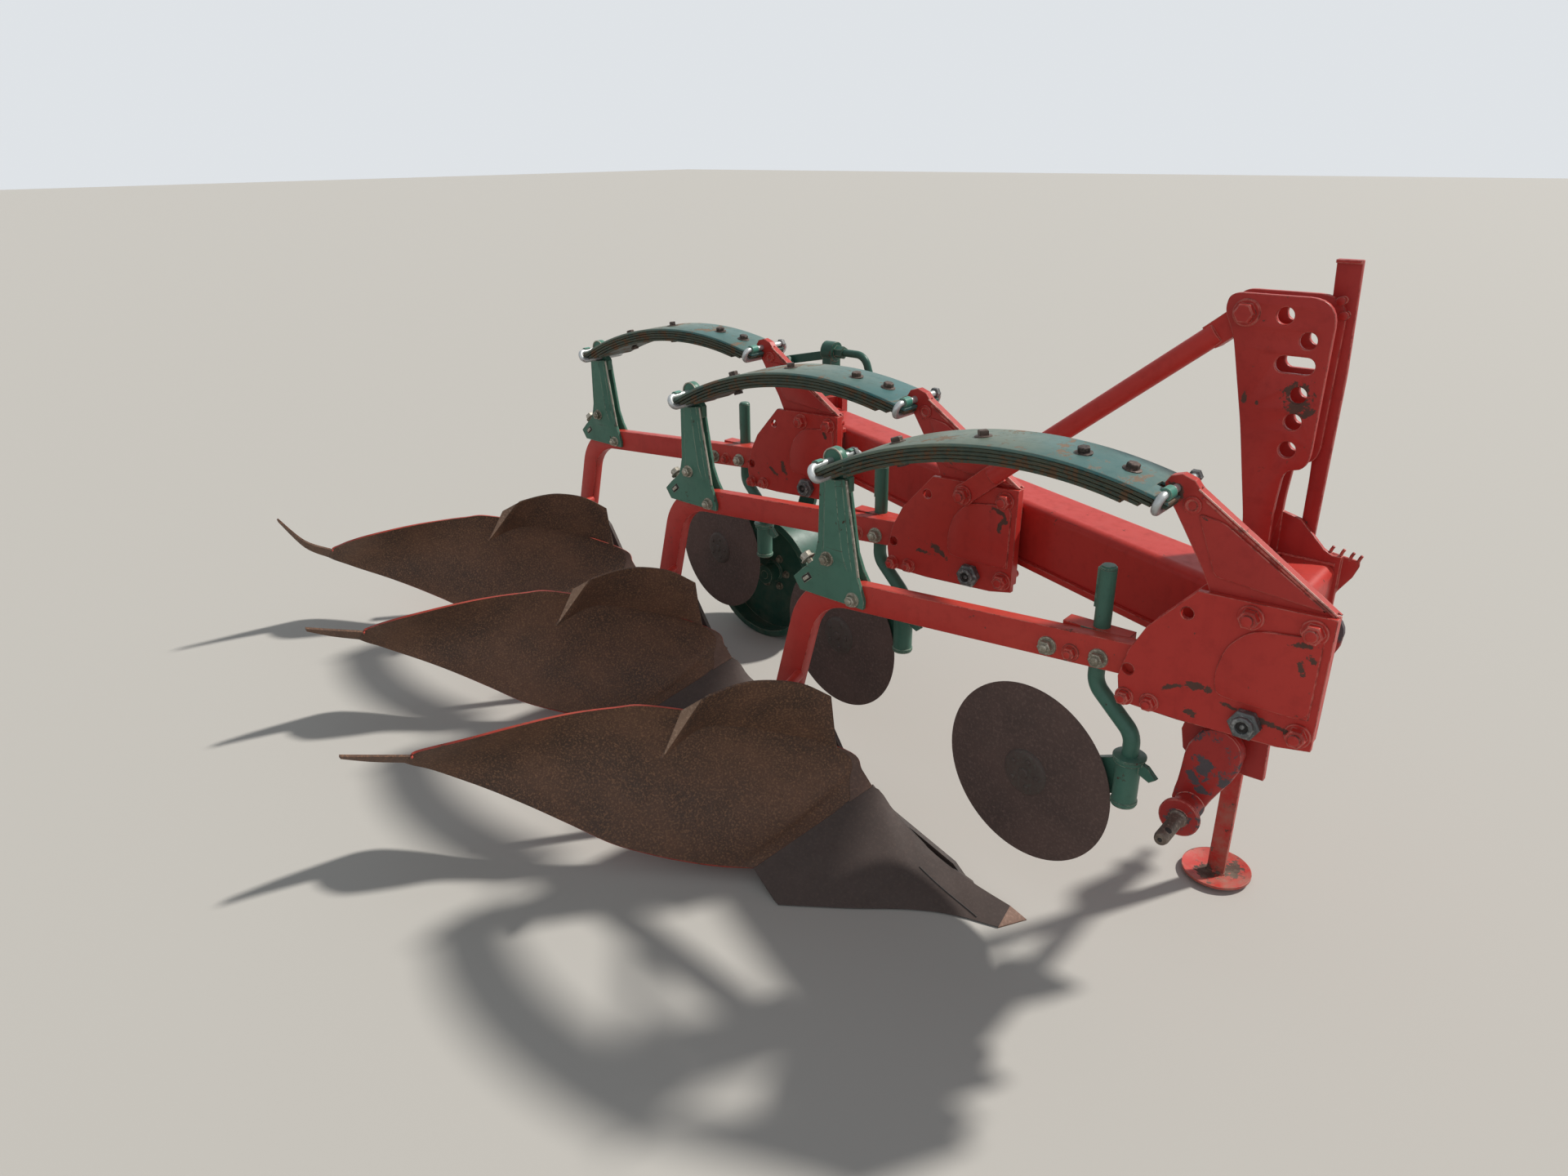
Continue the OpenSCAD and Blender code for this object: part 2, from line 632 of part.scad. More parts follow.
// Tube from the headstock to the top bolt of the second side plate, flattened at both ends
brace_plate = 14;
module brace() {
    top = [-213, mast_y, 1350];
    foot = [plate_bolts[0][0] - body_pitch, furrow_w - 29, plate_bolts[0][1]];
    v = (top - foot) / norm(top - foot);
    tilt = atan2(v[2], v[0]);
    color(red) placed() difference() {
        union() {
            rod(foot + v * 95, top - v * 75, 44);
            translate([foot[0], furrow_w - seat - brace_plate, foot[2]]) rotate([0, -tilt, 0])
                side_plate(0, brace_plate) {
                    circle(r = 27, $fn = 48);
                    translate([0, -25]) square([110, 50]);
                }
            translate([top[0], mast_y - 22, top[2]]) rotate([0, 180 - tilt, 0]) side_plate(0, 44) {
                circle(r = 26, $fn = 48);
                translate([0, -24]) square([90, 48]);
            }
        }
        cross_bar(foot[0], foot[2], 0, furrow_w, bolt_d(plate_bolts[0]) + 2 * fit);
        cross_bar(top[0], top[2], mast_y - 40, mast_y + 40, 28 + 2 * fit);
    }
}

// Hangers under the cross beam that carry the cross shaft
shaft_x = -45;
hanger_t = 14;
hanger_y = [60, mast_y + 2];
module shaft_brackets() {
    color(red) placed() for (y = hanger_y) difference() {
        side_plate(y, hanger_t) difference() {
            polygon([[-128, 600], [-120, 560], [-100, 542], [33, 546], [30, 640],
                [cross_front - 2, beam_z - seat], [cross_back, beam_z - seat]]);
            translate([shaft_x, shaft_z]) circle(d = shaft_d + 2 * fit, $fn = 64);
        }
    }
}

// Cross shaft with a crank arm, a collar and a pin at each end
pin_x = -77;
arm_y = 16;
arm_t = 22;
collar_y = -42;
module shaft_end() {
    color(red) {
        side_plate(arm_y, arm_t) {
            translate([shaft_x, shaft_z]) circle(r = 45, $fn = 64);
            translate([pin_x - 6, pin_z + 4]) circle(r = 31, $fn = 64);
            polygon([[-89, 592], [-3, 614], [-54, 458], [-113, 485]]);
        }
        cross_bar(pin_x, pin_z, collar_y, arm_y, 56);
        cross_bar(pin_x, pin_z, collar_y, collar_y + 10, 78);
    }
    color(steel) difference() {
        cross_bar(pin_x, pin_z, collar_y - pin_len, collar_y, pin_d);
        translate([pin_x, collar_y - pin_len + 22, pin_z - 30]) cylinder(h = 60, d = 12, $fn = 24);
    }
}
module cross_shaft() {
    placed() {
        color(red) cross_bar(shaft_x, shaft_z, arm_y, 2 * mast_y - arm_y, shaft_d);
        shaft_end();
        translate([0, 2 * mast_y, 0]) mirror([0, 1, 0]) shaft_end();
    }
}

// Parking stand: a flat bar in a sleeve behind the cross beam, on a dished foot
stand_x = -124;
stand_y = 488;
stand_top = 800;
stand_play = 0.5;
module stand_sleeve() {
    wall = cross_back - seat - stand_x - stand_w / 2;
    color(red) placed() difference() {
        translate([stand_x - stand_w / 2 - wall, stand_y - stand_t / 2 - 8, 640])
            cube([stand_w + 2 * wall, stand_t + 16, 225]);
        translate([stand_x - stand_w / 2 - stand_play, stand_y - stand_t / 2 - stand_play, 630])
            cube([stand_w + 2 * stand_play, stand_t + 2 * stand_play, 300]);
    }
}
module stand() {
    foot_r = 300;
    color(red) placed() {
        translate([stand_x - stand_w / 2, stand_y - stand_t / 2, 3]) cube([stand_w, stand_t, stand_top - 3]);
        translate([stand_x, stand_y, 0]) rotate_extrude($fn = 64) intersection() {
            difference() {
                translate([0, foot_r]) circle(r = foot_r, $fn = 128);
                translate([0, foot_r]) circle(r = foot_r - 6, $fn = 128);
            }
            square([80, 60]);
        }
    }
}

// Depth wheel on an arm that swings about a pivot on the rear end of the main beam
arm_pivot = [-1700, 790];
arm_plate_y = wheel_y + wheel_w / 2 + 5;
lever_end = [-1843, 985];
screw_y = 936;
screw_z = 1032;
module at_wheel() {
    placed() translate([-(body_count - 3) * body_pitch, (body_count - 3) * furrow_w, 0]) children();
}
// Outline of a bar with round ends between two points in X and Z
module link(a, b, r) {
    d = [b[0] - a[0], b[1] - a[1]];
    translate(a) circle(r = r, $fn = 48);
    translate(b) circle(r = r, $fn = 48);
    translate(a) rotate(atan2(d[1], d[0])) translate([0, -r]) square([norm(d), 2 * r]);
}
module wheel_bracket() {
    hub_low = arm_plate_y - 50;
    color(red) at_wheel() difference() {
        side_plate(786, hub_low - seat - 786) polygon([[-1745, 760], [-1745, 825], [-1640, 900],
            [-1585, 900], [-1585, 750], [-1690, 745]]);
        rotate([0, 0, -skew]) translate([beam_rear - seat, beam_near - 400, 0])
            cube([2400, beam_w + 400 + seat, 2000]);
    }
    color(red) at_wheel() cross_bar(arm_pivot[0], arm_pivot[1], 850, arm_plate_y + 16, arm_pivot_d);
    color(steel) at_wheel() cross_bar(arm_pivot[0], arm_pivot[1], arm_plate_y + 16 + seat, wheel_side_y, 60);
}
module wheel_screw() {
    color(green) at_wheel() {
        side_plate(screw_y - 75, 100) polygon([[-1690, 864.8], [-1655, 889.8], [-1655, 915], [-1690, 915]]);
        side_plate(screw_y - 25, 50) polygon([[-1690, 900], [-1655, 900], [-1655, screw_z], [-1690, screw_z]]);
        translate([-1694, screw_y, screw_z]) rotate([0, 90, 0]) cylinder(h = 43, d = 62, $fn = 48);
        translate([-1652, screw_y, screw_z]) rotate([0, 90, 0]) cylinder(h = 32, d = 40, $fn = 6);
        side_plate(screw_y - 7, 14) polygon([[-1692, 1032], [-1857, 997], [-1866, 984], [-1857, 969], [-1692, 1004]]);
        translate([-1630, screw_y, screw_z]) rotate([0, 90, 0]) cylinder(h = 60, d = 24, $fn = 32);
        translate([-1570, screw_y, screw_z - 44]) elbow(44, 20, 70, 24);
        translate([-1570 + 44 * cos(20), screw_y, screw_z - 44 + 44 * sin(20)]) rotate([0, 180 - 20, 0])
            cylinder(h = 60, d = 24, $fn = 32);
    }
}
module wheel_arm() {
    axle = [wheel_x, wheel_d / 2];
    color(green) at_wheel() difference() {
        union() {
            side_plate(arm_plate_y - 50, 66) translate(arm_pivot) circle(r = 36, $fn = 64);
            side_plate(arm_plate_y, 16) link(arm_pivot, axle, 32);
            side_plate(arm_plate_y - 50, 12) hull() {
                translate(arm_pivot) circle(r = 26, $fn = 48);
                translate(lever_end) circle(r = 15, $fn = 48);
            }
            cross_bar(axle[0], axle[1], wheel_y - wheel_w / 2 + 20, arm_plate_y, 30);
        }
        cross_bar(arm_pivot[0], arm_pivot[1], 800, 1000, arm_pivot_d + 2 * fit);
        cross_bar(lever_end[0], lever_end[1], 800, 1000, 16);
    }
}
module depth_wheel() {
    near = wheel_y - wheel_w / 2;
    color(green) at_wheel() difference() {
        union() {
            difference() {
                cross_bar(wheel_x, wheel_d / 2, near, near + wheel_w, wheel_d);
                cross_bar(wheel_x, wheel_d / 2, near - 1, near + wheel_w + 1, wheel_d - 16);
            }
            cross_bar(wheel_x, wheel_d / 2, wheel_y - 4, wheel_y + 4, wheel_d - 8);
            cross_bar(wheel_x, wheel_d / 2, near + 20, near + wheel_w - 5, 70);
        }
        cross_bar(wheel_x, wheel_d / 2, near - 1, near + wheel_w + 1, 30 + 2 * fit);
    }
}

main_beam();
cross_beam();
on_body(0) carrier();  // carrier_front
on_body(1) carrier(brace_plate + 1);  // carrier_mid
on_body(2) carrier();  // carrier_rear
on_body(0) spring_bracket();  // spring_bracket_front
on_body(1) spring_bracket();  // spring_bracket_mid
on_body(2) spring_bracket();  // spring_bracket_rear
on_body(0) leg();  // leg_front
on_body(1) leg();  // leg_mid
on_body(2) leg();  // leg_rear
on_body(0) leg_bracket();  // leg_bracket_front
on_body(1) leg_bracket();  // leg_bracket_mid
on_body(2) leg_bracket();  // leg_bracket_rear
on_body(0) leaf_spring();  // leaf_spring_front
on_body(1) leaf_spring();  // leaf_spring_mid
on_body(2) leaf_spring();  // leaf_spring_rear
shackles();
on_body(0) coulter_stem();  // coulter_stem_front
on_body(1) coulter_stem();  // coulter_stem_mid
on_body(2) coulter_stem();  // coulter_stem_rear
on_body(0) coulter_arm();  // coulter_arm_front
on_body(1) coulter_arm();  // coulter_arm_mid
on_body(2) coulter_arm();  // coulter_arm_rear
on_body(0) coulter_disc();  // coulter_disc_front
on_body(1) coulter_disc();  // coulter_disc_mid
on_body(2) coulter_disc();  // coulter_disc_rear
on_body(0) mouldboard(0);  // mouldboard_front
on_body(1) mouldboard(1);  // mouldboard_mid
on_body(2) mouldboard(2);  // mouldboard_rear
trashboards();
on_body(0) share();  // share_front
on_body(1) share();  // share_mid
on_body(2) share();  // share_rear
frogs();
headstock();
hose_post();
brace();
shaft_brackets();
cross_shaft();
stand_sleeve();
stand();
wheel_bracket();
wheel_screw();
wheel_arm();
depth_wheel();
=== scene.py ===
# Mounted three-furrow mouldboard plough, painted and worn, standing as it is parked.
# X points forward, Y to the unploughed land, Z up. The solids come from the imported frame.
# What is forged, pressed, curved or worn is made here and stands in their place. Sizes and
# places are in millimetres, and at() turns them into metres.

from math import atan2, cos, pi, radians, sin

import bmesh
import bpy
from mathutils import Matrix, Vector


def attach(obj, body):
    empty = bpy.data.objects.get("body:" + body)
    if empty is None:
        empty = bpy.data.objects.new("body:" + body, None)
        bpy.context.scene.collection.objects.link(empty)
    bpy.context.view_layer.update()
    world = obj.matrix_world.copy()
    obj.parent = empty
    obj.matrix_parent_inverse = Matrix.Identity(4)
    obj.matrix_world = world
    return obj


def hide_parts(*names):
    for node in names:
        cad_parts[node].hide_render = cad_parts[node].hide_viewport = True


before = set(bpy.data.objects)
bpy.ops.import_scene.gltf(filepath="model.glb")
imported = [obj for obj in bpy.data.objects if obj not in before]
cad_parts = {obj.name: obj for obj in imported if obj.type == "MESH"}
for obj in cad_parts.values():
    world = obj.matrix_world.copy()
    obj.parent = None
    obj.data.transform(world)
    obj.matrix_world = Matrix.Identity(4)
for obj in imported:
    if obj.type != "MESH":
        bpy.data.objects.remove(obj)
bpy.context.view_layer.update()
bpy.context.scene.view_settings.view_transform = "Standard"

# Viewpoint and floor
# A hand-held camera at head height off the furrow side, ahead of the first body.
# The floor is plain and pale, and one high soft lamp stands behind the plough.
VIEW_FROM = Vector((2.00153, -1.8525, 1.648))
VIEW_TURN = radians(40.364)
VIEW_DOWN = radians(22.872)
VIEW_ROLL = radians(0.467)
LENS_MM = 24.09
FLOOR_COLOUR = (0.50, 0.485, 0.455)
FLOOR_HALF = 60
SKY_GLOW = 0.31

camera = bpy.data.objects.new("camera", bpy.data.cameras.new("camera"))
camera.data.lens = LENS_MM
camera.data.sensor_width = 36.0
camera.data.clip_end = 200.0
level = Vector((cos(VIEW_TURN), sin(VIEW_TURN), 0))
ahead = Vector((-sin(VIEW_TURN) * cos(VIEW_DOWN), cos(VIEW_TURN) * cos(VIEW_DOWN), -sin(VIEW_DOWN)))
upward = level.cross(ahead)
side = level * cos(VIEW_ROLL) - upward * sin(VIEW_ROLL)
top = level * sin(VIEW_ROLL) + upward * cos(VIEW_ROLL)
camera.matrix_world = Matrix.Translation(VIEW_FROM) @ Matrix((side, top, -ahead)).transposed().to_4x4()
bpy.context.scene.collection.objects.link(camera)
bpy.context.scene.camera = camera


def wire(tree, kind, values=(), **settings):
    """Adds a shader node, with its settings and what is put on or wired to its sockets."""
    made = tree.nodes.new("ShaderNode" + kind)
    for key, value in settings.items():
        setattr(made, key, value)
    for socket, value in dict(values).items():
        if isinstance(value, bpy.types.NodeSocket):
            tree.links.new(value, made.inputs[socket])
        else:
            made.inputs[socket].default_value = value
    return made


floor_mesh = bpy.data.meshes.new("floor")
floor_corners = [(x * FLOOR_HALF, y * FLOOR_HALF, 0) for x, y in ((-1, -1), (1, -1), (1, 1), (-1, 1))]
floor_mesh.from_pydata(floor_corners, [], [(0, 1, 2, 3)])
floor = bpy.data.objects.new("floor", floor_mesh)
floor_paint = bpy.data.materials.new("pale_floor")
floor_paint.use_nodes = True
floor_surface = floor_paint.node_tree.nodes["Principled BSDF"]
floor_surface.inputs["Base Color"].default_value = (*FLOOR_COLOUR, 1)
floor_surface.inputs["Roughness"].default_value = 0.9
floor_mesh.materials.append(floor_paint)
bpy.context.scene.collection.objects.link(floor)

air = bpy.data.worlds.new("soft_daylight")
air.use_nodes = True
air.node_tree.nodes.clear()
rays = wire(air.node_tree, "LightPath").outputs
seen = rays["Is Camera Ray"]
for ray in ("Is Glossy Ray", "Is Transmission Ray"):
    seen = wire(air.node_tree, "Math", {0: seen, 1: rays[ray]}, operation="MAXIMUM").outputs[0]
glow = wire(air.node_tree, "Background", {"Color": (0.90, 0.95, 1.0, 1), "Strength": SKY_GLOW})
backdrop = wire(air.node_tree, "Background", {"Color": (0.74, 0.77, 0.80, 1), "Strength": 1.0})
mixed = wire(air.node_tree, "MixShader", {0: seen, 1: glow.outputs[0], 2: backdrop.outputs[0]})
wire(air.node_tree, "OutputWorld", {"Surface": mixed.outputs[0]})
bpy.context.scene.world = air

LAMPS = [
    # name, direction that it shines from, strength, softness in degrees, colour
    ("key_lamp", (0.42, 0.80, 0.95), 3.5, 4, (1.0, 0.96, 0.90)),
    ("fill_lamp", (0.55, -0.80, 0.45), 0.28, 60, (0.95, 0.97, 1.0)),
]
for lamp_name, shines_from, strength, softness, tint in LAMPS:
    lamp = bpy.data.objects.new(lamp_name, bpy.data.lights.new(lamp_name, "SUN"))
    lamp.data.energy = strength
    lamp.data.angle = radians(softness)
    lamp.data.color = tint
    lamp.rotation_euler = Vector(shines_from).to_track_quat("Z", "Y").to_euler()
    bpy.context.scene.collection.objects.link(lamp)

# Main frame
# A skew box beam carries the three bodies and a second one runs across the front. Both are
# rolled tube, sprayed red, faded on top, chipped along the edges and welded together.
BODIES = ["front", "mid", "rear"]
FIRST_PIVOT = Vector((1.57053, -0.0665, 0.0))
PITCH = 0.750
FURROW = 0.300
FRAME_RED = (0.50, 0.034, 0.027)
FADED_RED = (0.57, 0.054, 0.040)
# pale pink laid along the edges of red paint: painted highlight
EDGE_HIGHLIGHT_PINK = (0.74, 0.30, 0.24)
PRIMER_CHIP = (0.070, 0.036, 0.028)
DRY_SOIL = (0.30, 0.25, 0.19)
BEAD_STEP, BEAD_SWELL = 0.004, (1.08, 0.94, 0.86)
PAINT_SHEEN = 0.26
PAINT_THICK = 0.0012
EDGE_ROUND = 0.003


def at(x, y, z, body=0):
    """Place in millimetres off the leg pivot of the front body, or its like on a body behind."""
    return FIRST_PIVOT + Vector((x / 1000 - PITCH * body, y / 1000 + FURROW * body, z / 1000))


def noise(place, scale, detail, rough=0.55, stretch=None):
    """Fractal noise over the object, drawn out along one axis where stretch is given."""
    if stretch:
        place = wire(place.id_data, "Mapping", {"Vector": place, "Scale": stretch}).outputs[0]
    values = {"Vector": place, "Scale": scale, "Detail": detail, "Roughness": rough}
    return wire(place.id_data, "TexNoise", values).outputs["Fac"]


def ramp(value, low, high):
    """0 where the value is at low, 1 where it is at high."""
    return wire(value.id_data, "MapRange", {"Value": value, "From Min": low, "From Max": high}).outputs[0]


def blend_colour(share, a, b):
    """From colour a to colour b by a share, each of them set or wired in."""
    a, b = ((*value, 1) if isinstance(value, tuple) else value for value in (a, b))
    return wire(share.id_data, "Mix", {0: share, 6: a, 7: b}, data_type="RGBA").outputs[2]


def times(a, b):
    return wire(a.id_data, "Math", {0: a, 1: b}, operation="MULTIPLY").outputs[0]


def plus(a, b, clamp=False):
    return wire(a.id_data, "Math", {0: a, 1: b}, operation="ADD", use_clamp=clamp).outputs[0]


def most(a, b):
    return wire(a.id_data, "Math", {0: a, 1: b}, operation="MAXIMUM").outputs[0]


def scuffed(place, scuffs, broken):
    """Marks worn into the paint: each an oval at a place, with its half sizes and its slant."""
    marks = None
    for centre, size, slant in scuffs:
        oval = {"Vector": place, "Location": centre, "Scale": size, "Rotation": (0, radians(slant), 0)}
        near = wire(place.id_data, "Mapping", oval, vector_type="TEXTURE").outputs[0]
        far = wire(place.id_data, "VectorMath", {0: near}, operation="LENGTH").outputs["Value"]
        mark = ramp(plus(ramp(far, 1.0, 0.0), times(broken, 2.6)), 1.72, 1.82)
        marks = mark if marks is None else most(marks, mark)
    return marks


def new_material(name, edge_round):
    """A material, its nodes and surface, a place on the object and its normal over soft edges."""
    made = bpy.data.materials.new(name)
    made.use_nodes = True
    tree = made.node_tree
    place = wire(tree, "TexCoord").outputs["Object"]
    rounded = wire(tree, "Bevel", {"Radius": edge_round}, samples=4).outputs[0]
    return made, tree, tree.nodes["Principled BSDF"], place, rounded


def emboss(surface, height, rounded, strength):
    """Raises and sinks the surface a little by a height that varies over it."""
    values = {"Height": height, "Normal": rounded, "Strength": strength, "Distance": PAINT_THICK}
    relief = wire(surface.id_data, "Bump", values).outputs[0]
    surface.id_data.links.new(relief, surface.inputs["Normal"])


def old_paint(name, fresh, faded, bare=PRIMER_CHIP, edge=EDGE_HIGHLIGHT_PINK, chipped=0.5, scratched=0.3, gloss=0.36,
              dusty=0.22, scuffs=(), patchy=0.0, painted_light_along=None):
    """Weathered paint on steel: fading, mottling, chips, scratches and dust, with a painted highlight in the
    edge colour along every edge, and painted sunlight along a run where one is given.
    """
    made, tree, surface, place, rounded = new_material(name, EDGE_ROUND)
    normal = wire(tree, "NewGeometry").outputs["Normal"]
    turn = wire(tree, "VectorMath", {0: rounded, 1: normal}, operation="DOT_PRODUCT").outputs["Value"]
    facing = wire(tree, "SeparateXYZ", {0: normal}).outputs["Z"]
    run, _, height = wire(tree, "SeparateXYZ", {0: place}).outputs

    mottle = noise(place, 38, 5, 0.65)
    fade = times(ramp(noise(place, 2.6, 5), 0.40, 0.70), 0.45)
    # Faces that look up are faded more. Where a stretch along X is given, the paint also grows lighter along
    # it: painted sunlight.
    fade_and_painted_light = times(ramp(facing, 0.3, 0.95), 0.30)
    if painted_light_along:
        fade_and_painted_light = plus(fade_and_painted_light, times(ramp(run, *painted_light_along), plus(mottle, 0.15)))
    colour = blend_colour(plus(fade, fade_and_painted_light, clamp=True), fresh, faded)
    dark = tuple(c * 0.60 for c in fresh)
    streak = noise(place, 9, 4, 0.6, (3.2, 3.2, 0.35))
    for stain in (ramp(mottle, 0.50, 0.75), ramp(streak, 0.55, 0.8)):
        colour = blend_colour(times(stain, 0.35), colour, dark)

    # Pale edge colour on every rounded edge, broken up by the mottle: painted highlight where light catches
    # the edges.
    edges = times(ramp(turn, 0.995, 0.93), ramp(mottle, 0.36, 0.52))
    colour = blend_colour(times(edges, 0.85), colour, edge)
    flakes = noise(place, 27, 9, 0.72)
    chips = ramp(flakes, 0.70 - 0.09 * chipped, 0.715 - 0.09 * chipped)
    lines = noise(place, 11, 7, 0.7, (0.5, 1.0, 9.0))
    scores = times(ramp(lines, 0.72 - 0.08 * scratched, 0.74 - 0.08 * scratched), 0.8)
    nicks = times(ramp(turn, 0.98, 0.92), ramp(flakes, 0.52, 0.56))
    worn = most(most(chips, scores), nicks)
    if patchy:
        patch = plus(noise(place, 9, 9, 0.72, (1.0, 0.5, 1.0)), times(mottle, 0.25))
        worn = most(worn, ramp(patch, 0.80 - 0.16 * patchy, 0.83 - 0.16 * patchy))
    if scuffs:
        worn = most(worn, scuffed(place, scuffs, noise(place, 60, 6, 0.7)))
    rust = blend_colour(mottle, bare, tuple(c * 2.0 for c in bare))
    colour = blend_colour(worn, colour, rust)

    lying = times(ramp(facing, 0.55, 0.95), ramp(noise(place, 7, 6, 0.7), 0.45, 0.75))
    splash = times(ramp(height, 0.50, 0.02), ramp(noise(place, 16, 6, 0.7), 0.42, 0.66))
    dust = times(most(times(lying, 0.45), splash), dusty)
    tree.links.new(blend_colour(dust, colour, DRY_SOIL), surface.inputs["Base Color"])

    rough = plus(times(mottle, 0.25), gloss - 0.11)
    matt = times(most(worn, dust), 0.4)
    tree.links.new(plus(rough, matt, clamp=True), surface.inputs["Roughness"])
    surface.inputs["Specular IOR Level"].default_value = PAINT_SHEEN
    emboss(surface, plus(times(noise(place, 150, 3), 0.25), times(worn, -0.8)), rounded, 0.35)
    return made


def coat(material, *node_names):
    """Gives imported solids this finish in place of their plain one."""
    for node_name in node_names:
        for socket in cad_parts[node_name].material_slots:
            socket.material = material


def assemble(name, parts, finishes, stands_for=(), rides_on="root", crease=32):
    """One piece from its parts, each of them points, faces and the number of its finish."""
    points, faces, picks = [], [], []
    for part in parts:
        start = len(points)
        points += [tuple(p) for p in part[0]]
        faces += [tuple(start + n for n in face) for face in part[1]]
        picks += [part[2] if len(part) > 2 else 0] * len(part[1])
    mesh = bpy.data.meshes.new(name)
    mesh.from_pydata(points, [], faces)
    for finish in finishes:
        mesh.materials.append(finish)
    mesh.polygons.foreach_set("material_index", picks)
    shaping = bmesh.new()
    shaping.from_mesh(mesh)
    bmesh.ops.recalc_face_normals(shaping, faces=shaping.faces)
    shaping.to_mesh(mesh)
    shaping.free()
    mesh.shade_smooth()
    mesh.set_sharp_from_angle(angle=radians(crease))
    piece = bpy.data.objects.new(name, mesh)
    bpy.context.scene.collection.objects.link(piece)
    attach(piece, rides_on)
    if stands_for:
        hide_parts(*stands_for)


def tube_faces(rings, sides):
    """Faces of a bar that is given as rings of points, with flat ends."""
    faces = []
    for low in range(0, (rings - 1) * sides, sides):
        for i in range(sides):
            j = (i + 1) % sides
            faces.append((low + i, low + j, low + sides + j, low + sides + i))
    last = (rings - 1) * sides
    return faces + [tuple(range(sides))[::-1], tuple(range(last, last + sides))]


def bent_bar(path, diameter, sides, swell=None, finish=0):
    """Round bar along a path, thicker or thinner from ring to ring where swell is given."""
    points = []
    across = None
    for i, centre in enumerate(path):
        heading = (path[min(i + 1, len(path) - 1)] - path[max(i - 1, 0)]).normalized()
        across = heading.orthogonal() if across is None else across
        across = (across - heading * across.dot(heading)).normalized()
        over = heading.cross(across)
        r = diameter / 2000 * (swell[i] if swell else 1)
        for t in [2 * pi * n / sides for n in range(sides)]:
            points.append(centre + (across * cos(t) + over * sin(t)) * r)
    return points, tube_faces(len(path), sides), finish


def weld_bead(start, end, width):
    """Bead laid in short overlapping steps between two places."""
    count = max(4, int((end - start).length / BEAD_STEP))
    path = [start.lerp(end, i / count) for i in range(count + 1)]
    return bent_bar(path, width, 8, [BEAD_SWELL[i % 3] for i in range(count + 1)])


BOX_FACES = [(0, 1, 3, 2), (4, 6, 7, 5), (0, 4, 5, 1), (2, 3, 7, 6), (0, 2, 6, 4), (1, 5, 7, 3)]


def straight_block(low, high, body=0, finish=0):
    """Bar with square corners between two opposite corners, in millimetres."""
    xs, ys, zs = zip(low, high)
    return [at(x, y, z, body) for x in xs for y in ys for z in zs], BOX_FACES, finish


frame_red = old_paint("red_frame_paint", FRAME_RED, FADED_RED, gloss=0.42, dusty=0.12)
coat(frame_red, "main_beam", "cross_beam", "brace")

SKEW = atan2(FURROW, PITCH)
BEAM_LOW, BEAM_HIGH, BEAM_NEAR, BEAM_FAR = 717, 870, 100, 230
LIP_SPANS = [(-662, -190), (-1412, -940), (-1745, -1690)]


def on_beam(x, off, z):
    """Place at a given X beside the skew beam, off being square to its run."""
    along = (x - off * sin(SKEW)) / cos(SKEW)
    return at(x, off * cos(SKEW) - along * sin(SKEW), z)


lip_parts = []
for span in LIP_SPANS:
    corners = [on_beam(x, off, z) for x in span for off in (BEAM_NEAR - 9, BEAM_NEAR + 1)
               for z in (BEAM_LOW + 0.5, BEAM_LOW + 15)]
    lip_parts.append((corners, BOX_FACES))
assemble("beam_lip", lip_parts, [frame_red])
SEAM_X = -101
near_seam = [on_beam(SEAM_X, BEAM_NEAR - 1, z) for z in (BEAM_LOW + 20, BEAM_HIGH - 18)]
top_seam = [on_beam(SEAM_X, off, BEAM_HIGH) for off in (BEAM_NEAR + 14, BEAM_FAR - 14)]
seams = [weld_bead(*near_seam, 9), weld_bead(*top_seam, 8)]
for k, _ in enumerate(BODIES):
    seams.append(weld_bead(at(-188, 61, 729.5, k), at(-118, 61, 729.5, k), 6))
    seams.append(weld_bead(at(-116, 62, 870.5, k), at(86, 62, 870.5, k), 6))
seams += [weld_bead(at(-98, y, 871), at(x, y, 871), 7) for x, y in ((-60, 329), (-60, 343), (12, 397))]
assemble("frame_welds", seams, [frame_red])

# Headstock
# Two tall plates with the top-link holes, a flat hose post and a plate of hooks beside them.
# The paint is rubbed to bare steel round the hole that the top link sits in.
HITCH_RED = (0.37, 0.026, 0.023)
LINK_HOLE = at(-97, 330, 1207)
CORNER_STEPS = 7
hitch_red = old_paint("red_hitch_paint", HITCH_RED, FADED_RED, chipped=0.35, scratched=0.2, scuffs=[
    (LINK_HOLE, (0.045, 0.03, 0.045), 0), (LINK_HOLE + Vector((0.006, 0, -0.016)), (0.046, 0.03, 0.040), 30),
    (at(-192, 330, 1190), (0.008, 0.02, 0.016), 10), (at(-168, 330, 1184), (0.006, 0.02, 0.007), 0)])
coat(hitch_red, "shaft_brackets", "stand_sleeve", "wheel_bracket")


def around(sides, radius, spin, rise=0.0):
    """Points in metres round a circle, its radius and rise being in millimetres."""
    steps = [2 * pi * n / sides for n in range(sides)]
    return [spin @ Vector((radius * cos(t), radius * sin(t), rise)) * 0.001 for t in steps]


def turned(profile, sides, foot, axis=(0, -1, 0), finish=0):
    """Form turned about an axis from its foot: pairs of radius and height, in millimetres."""
    spin = Vector(axis).to_track_quat("Z", "Y").to_matrix()
    points = [foot + p for radius, rise in profile for p in around(sides, radius, spin, rise)]
    return points, tube_faces(len(profile), sides), finish


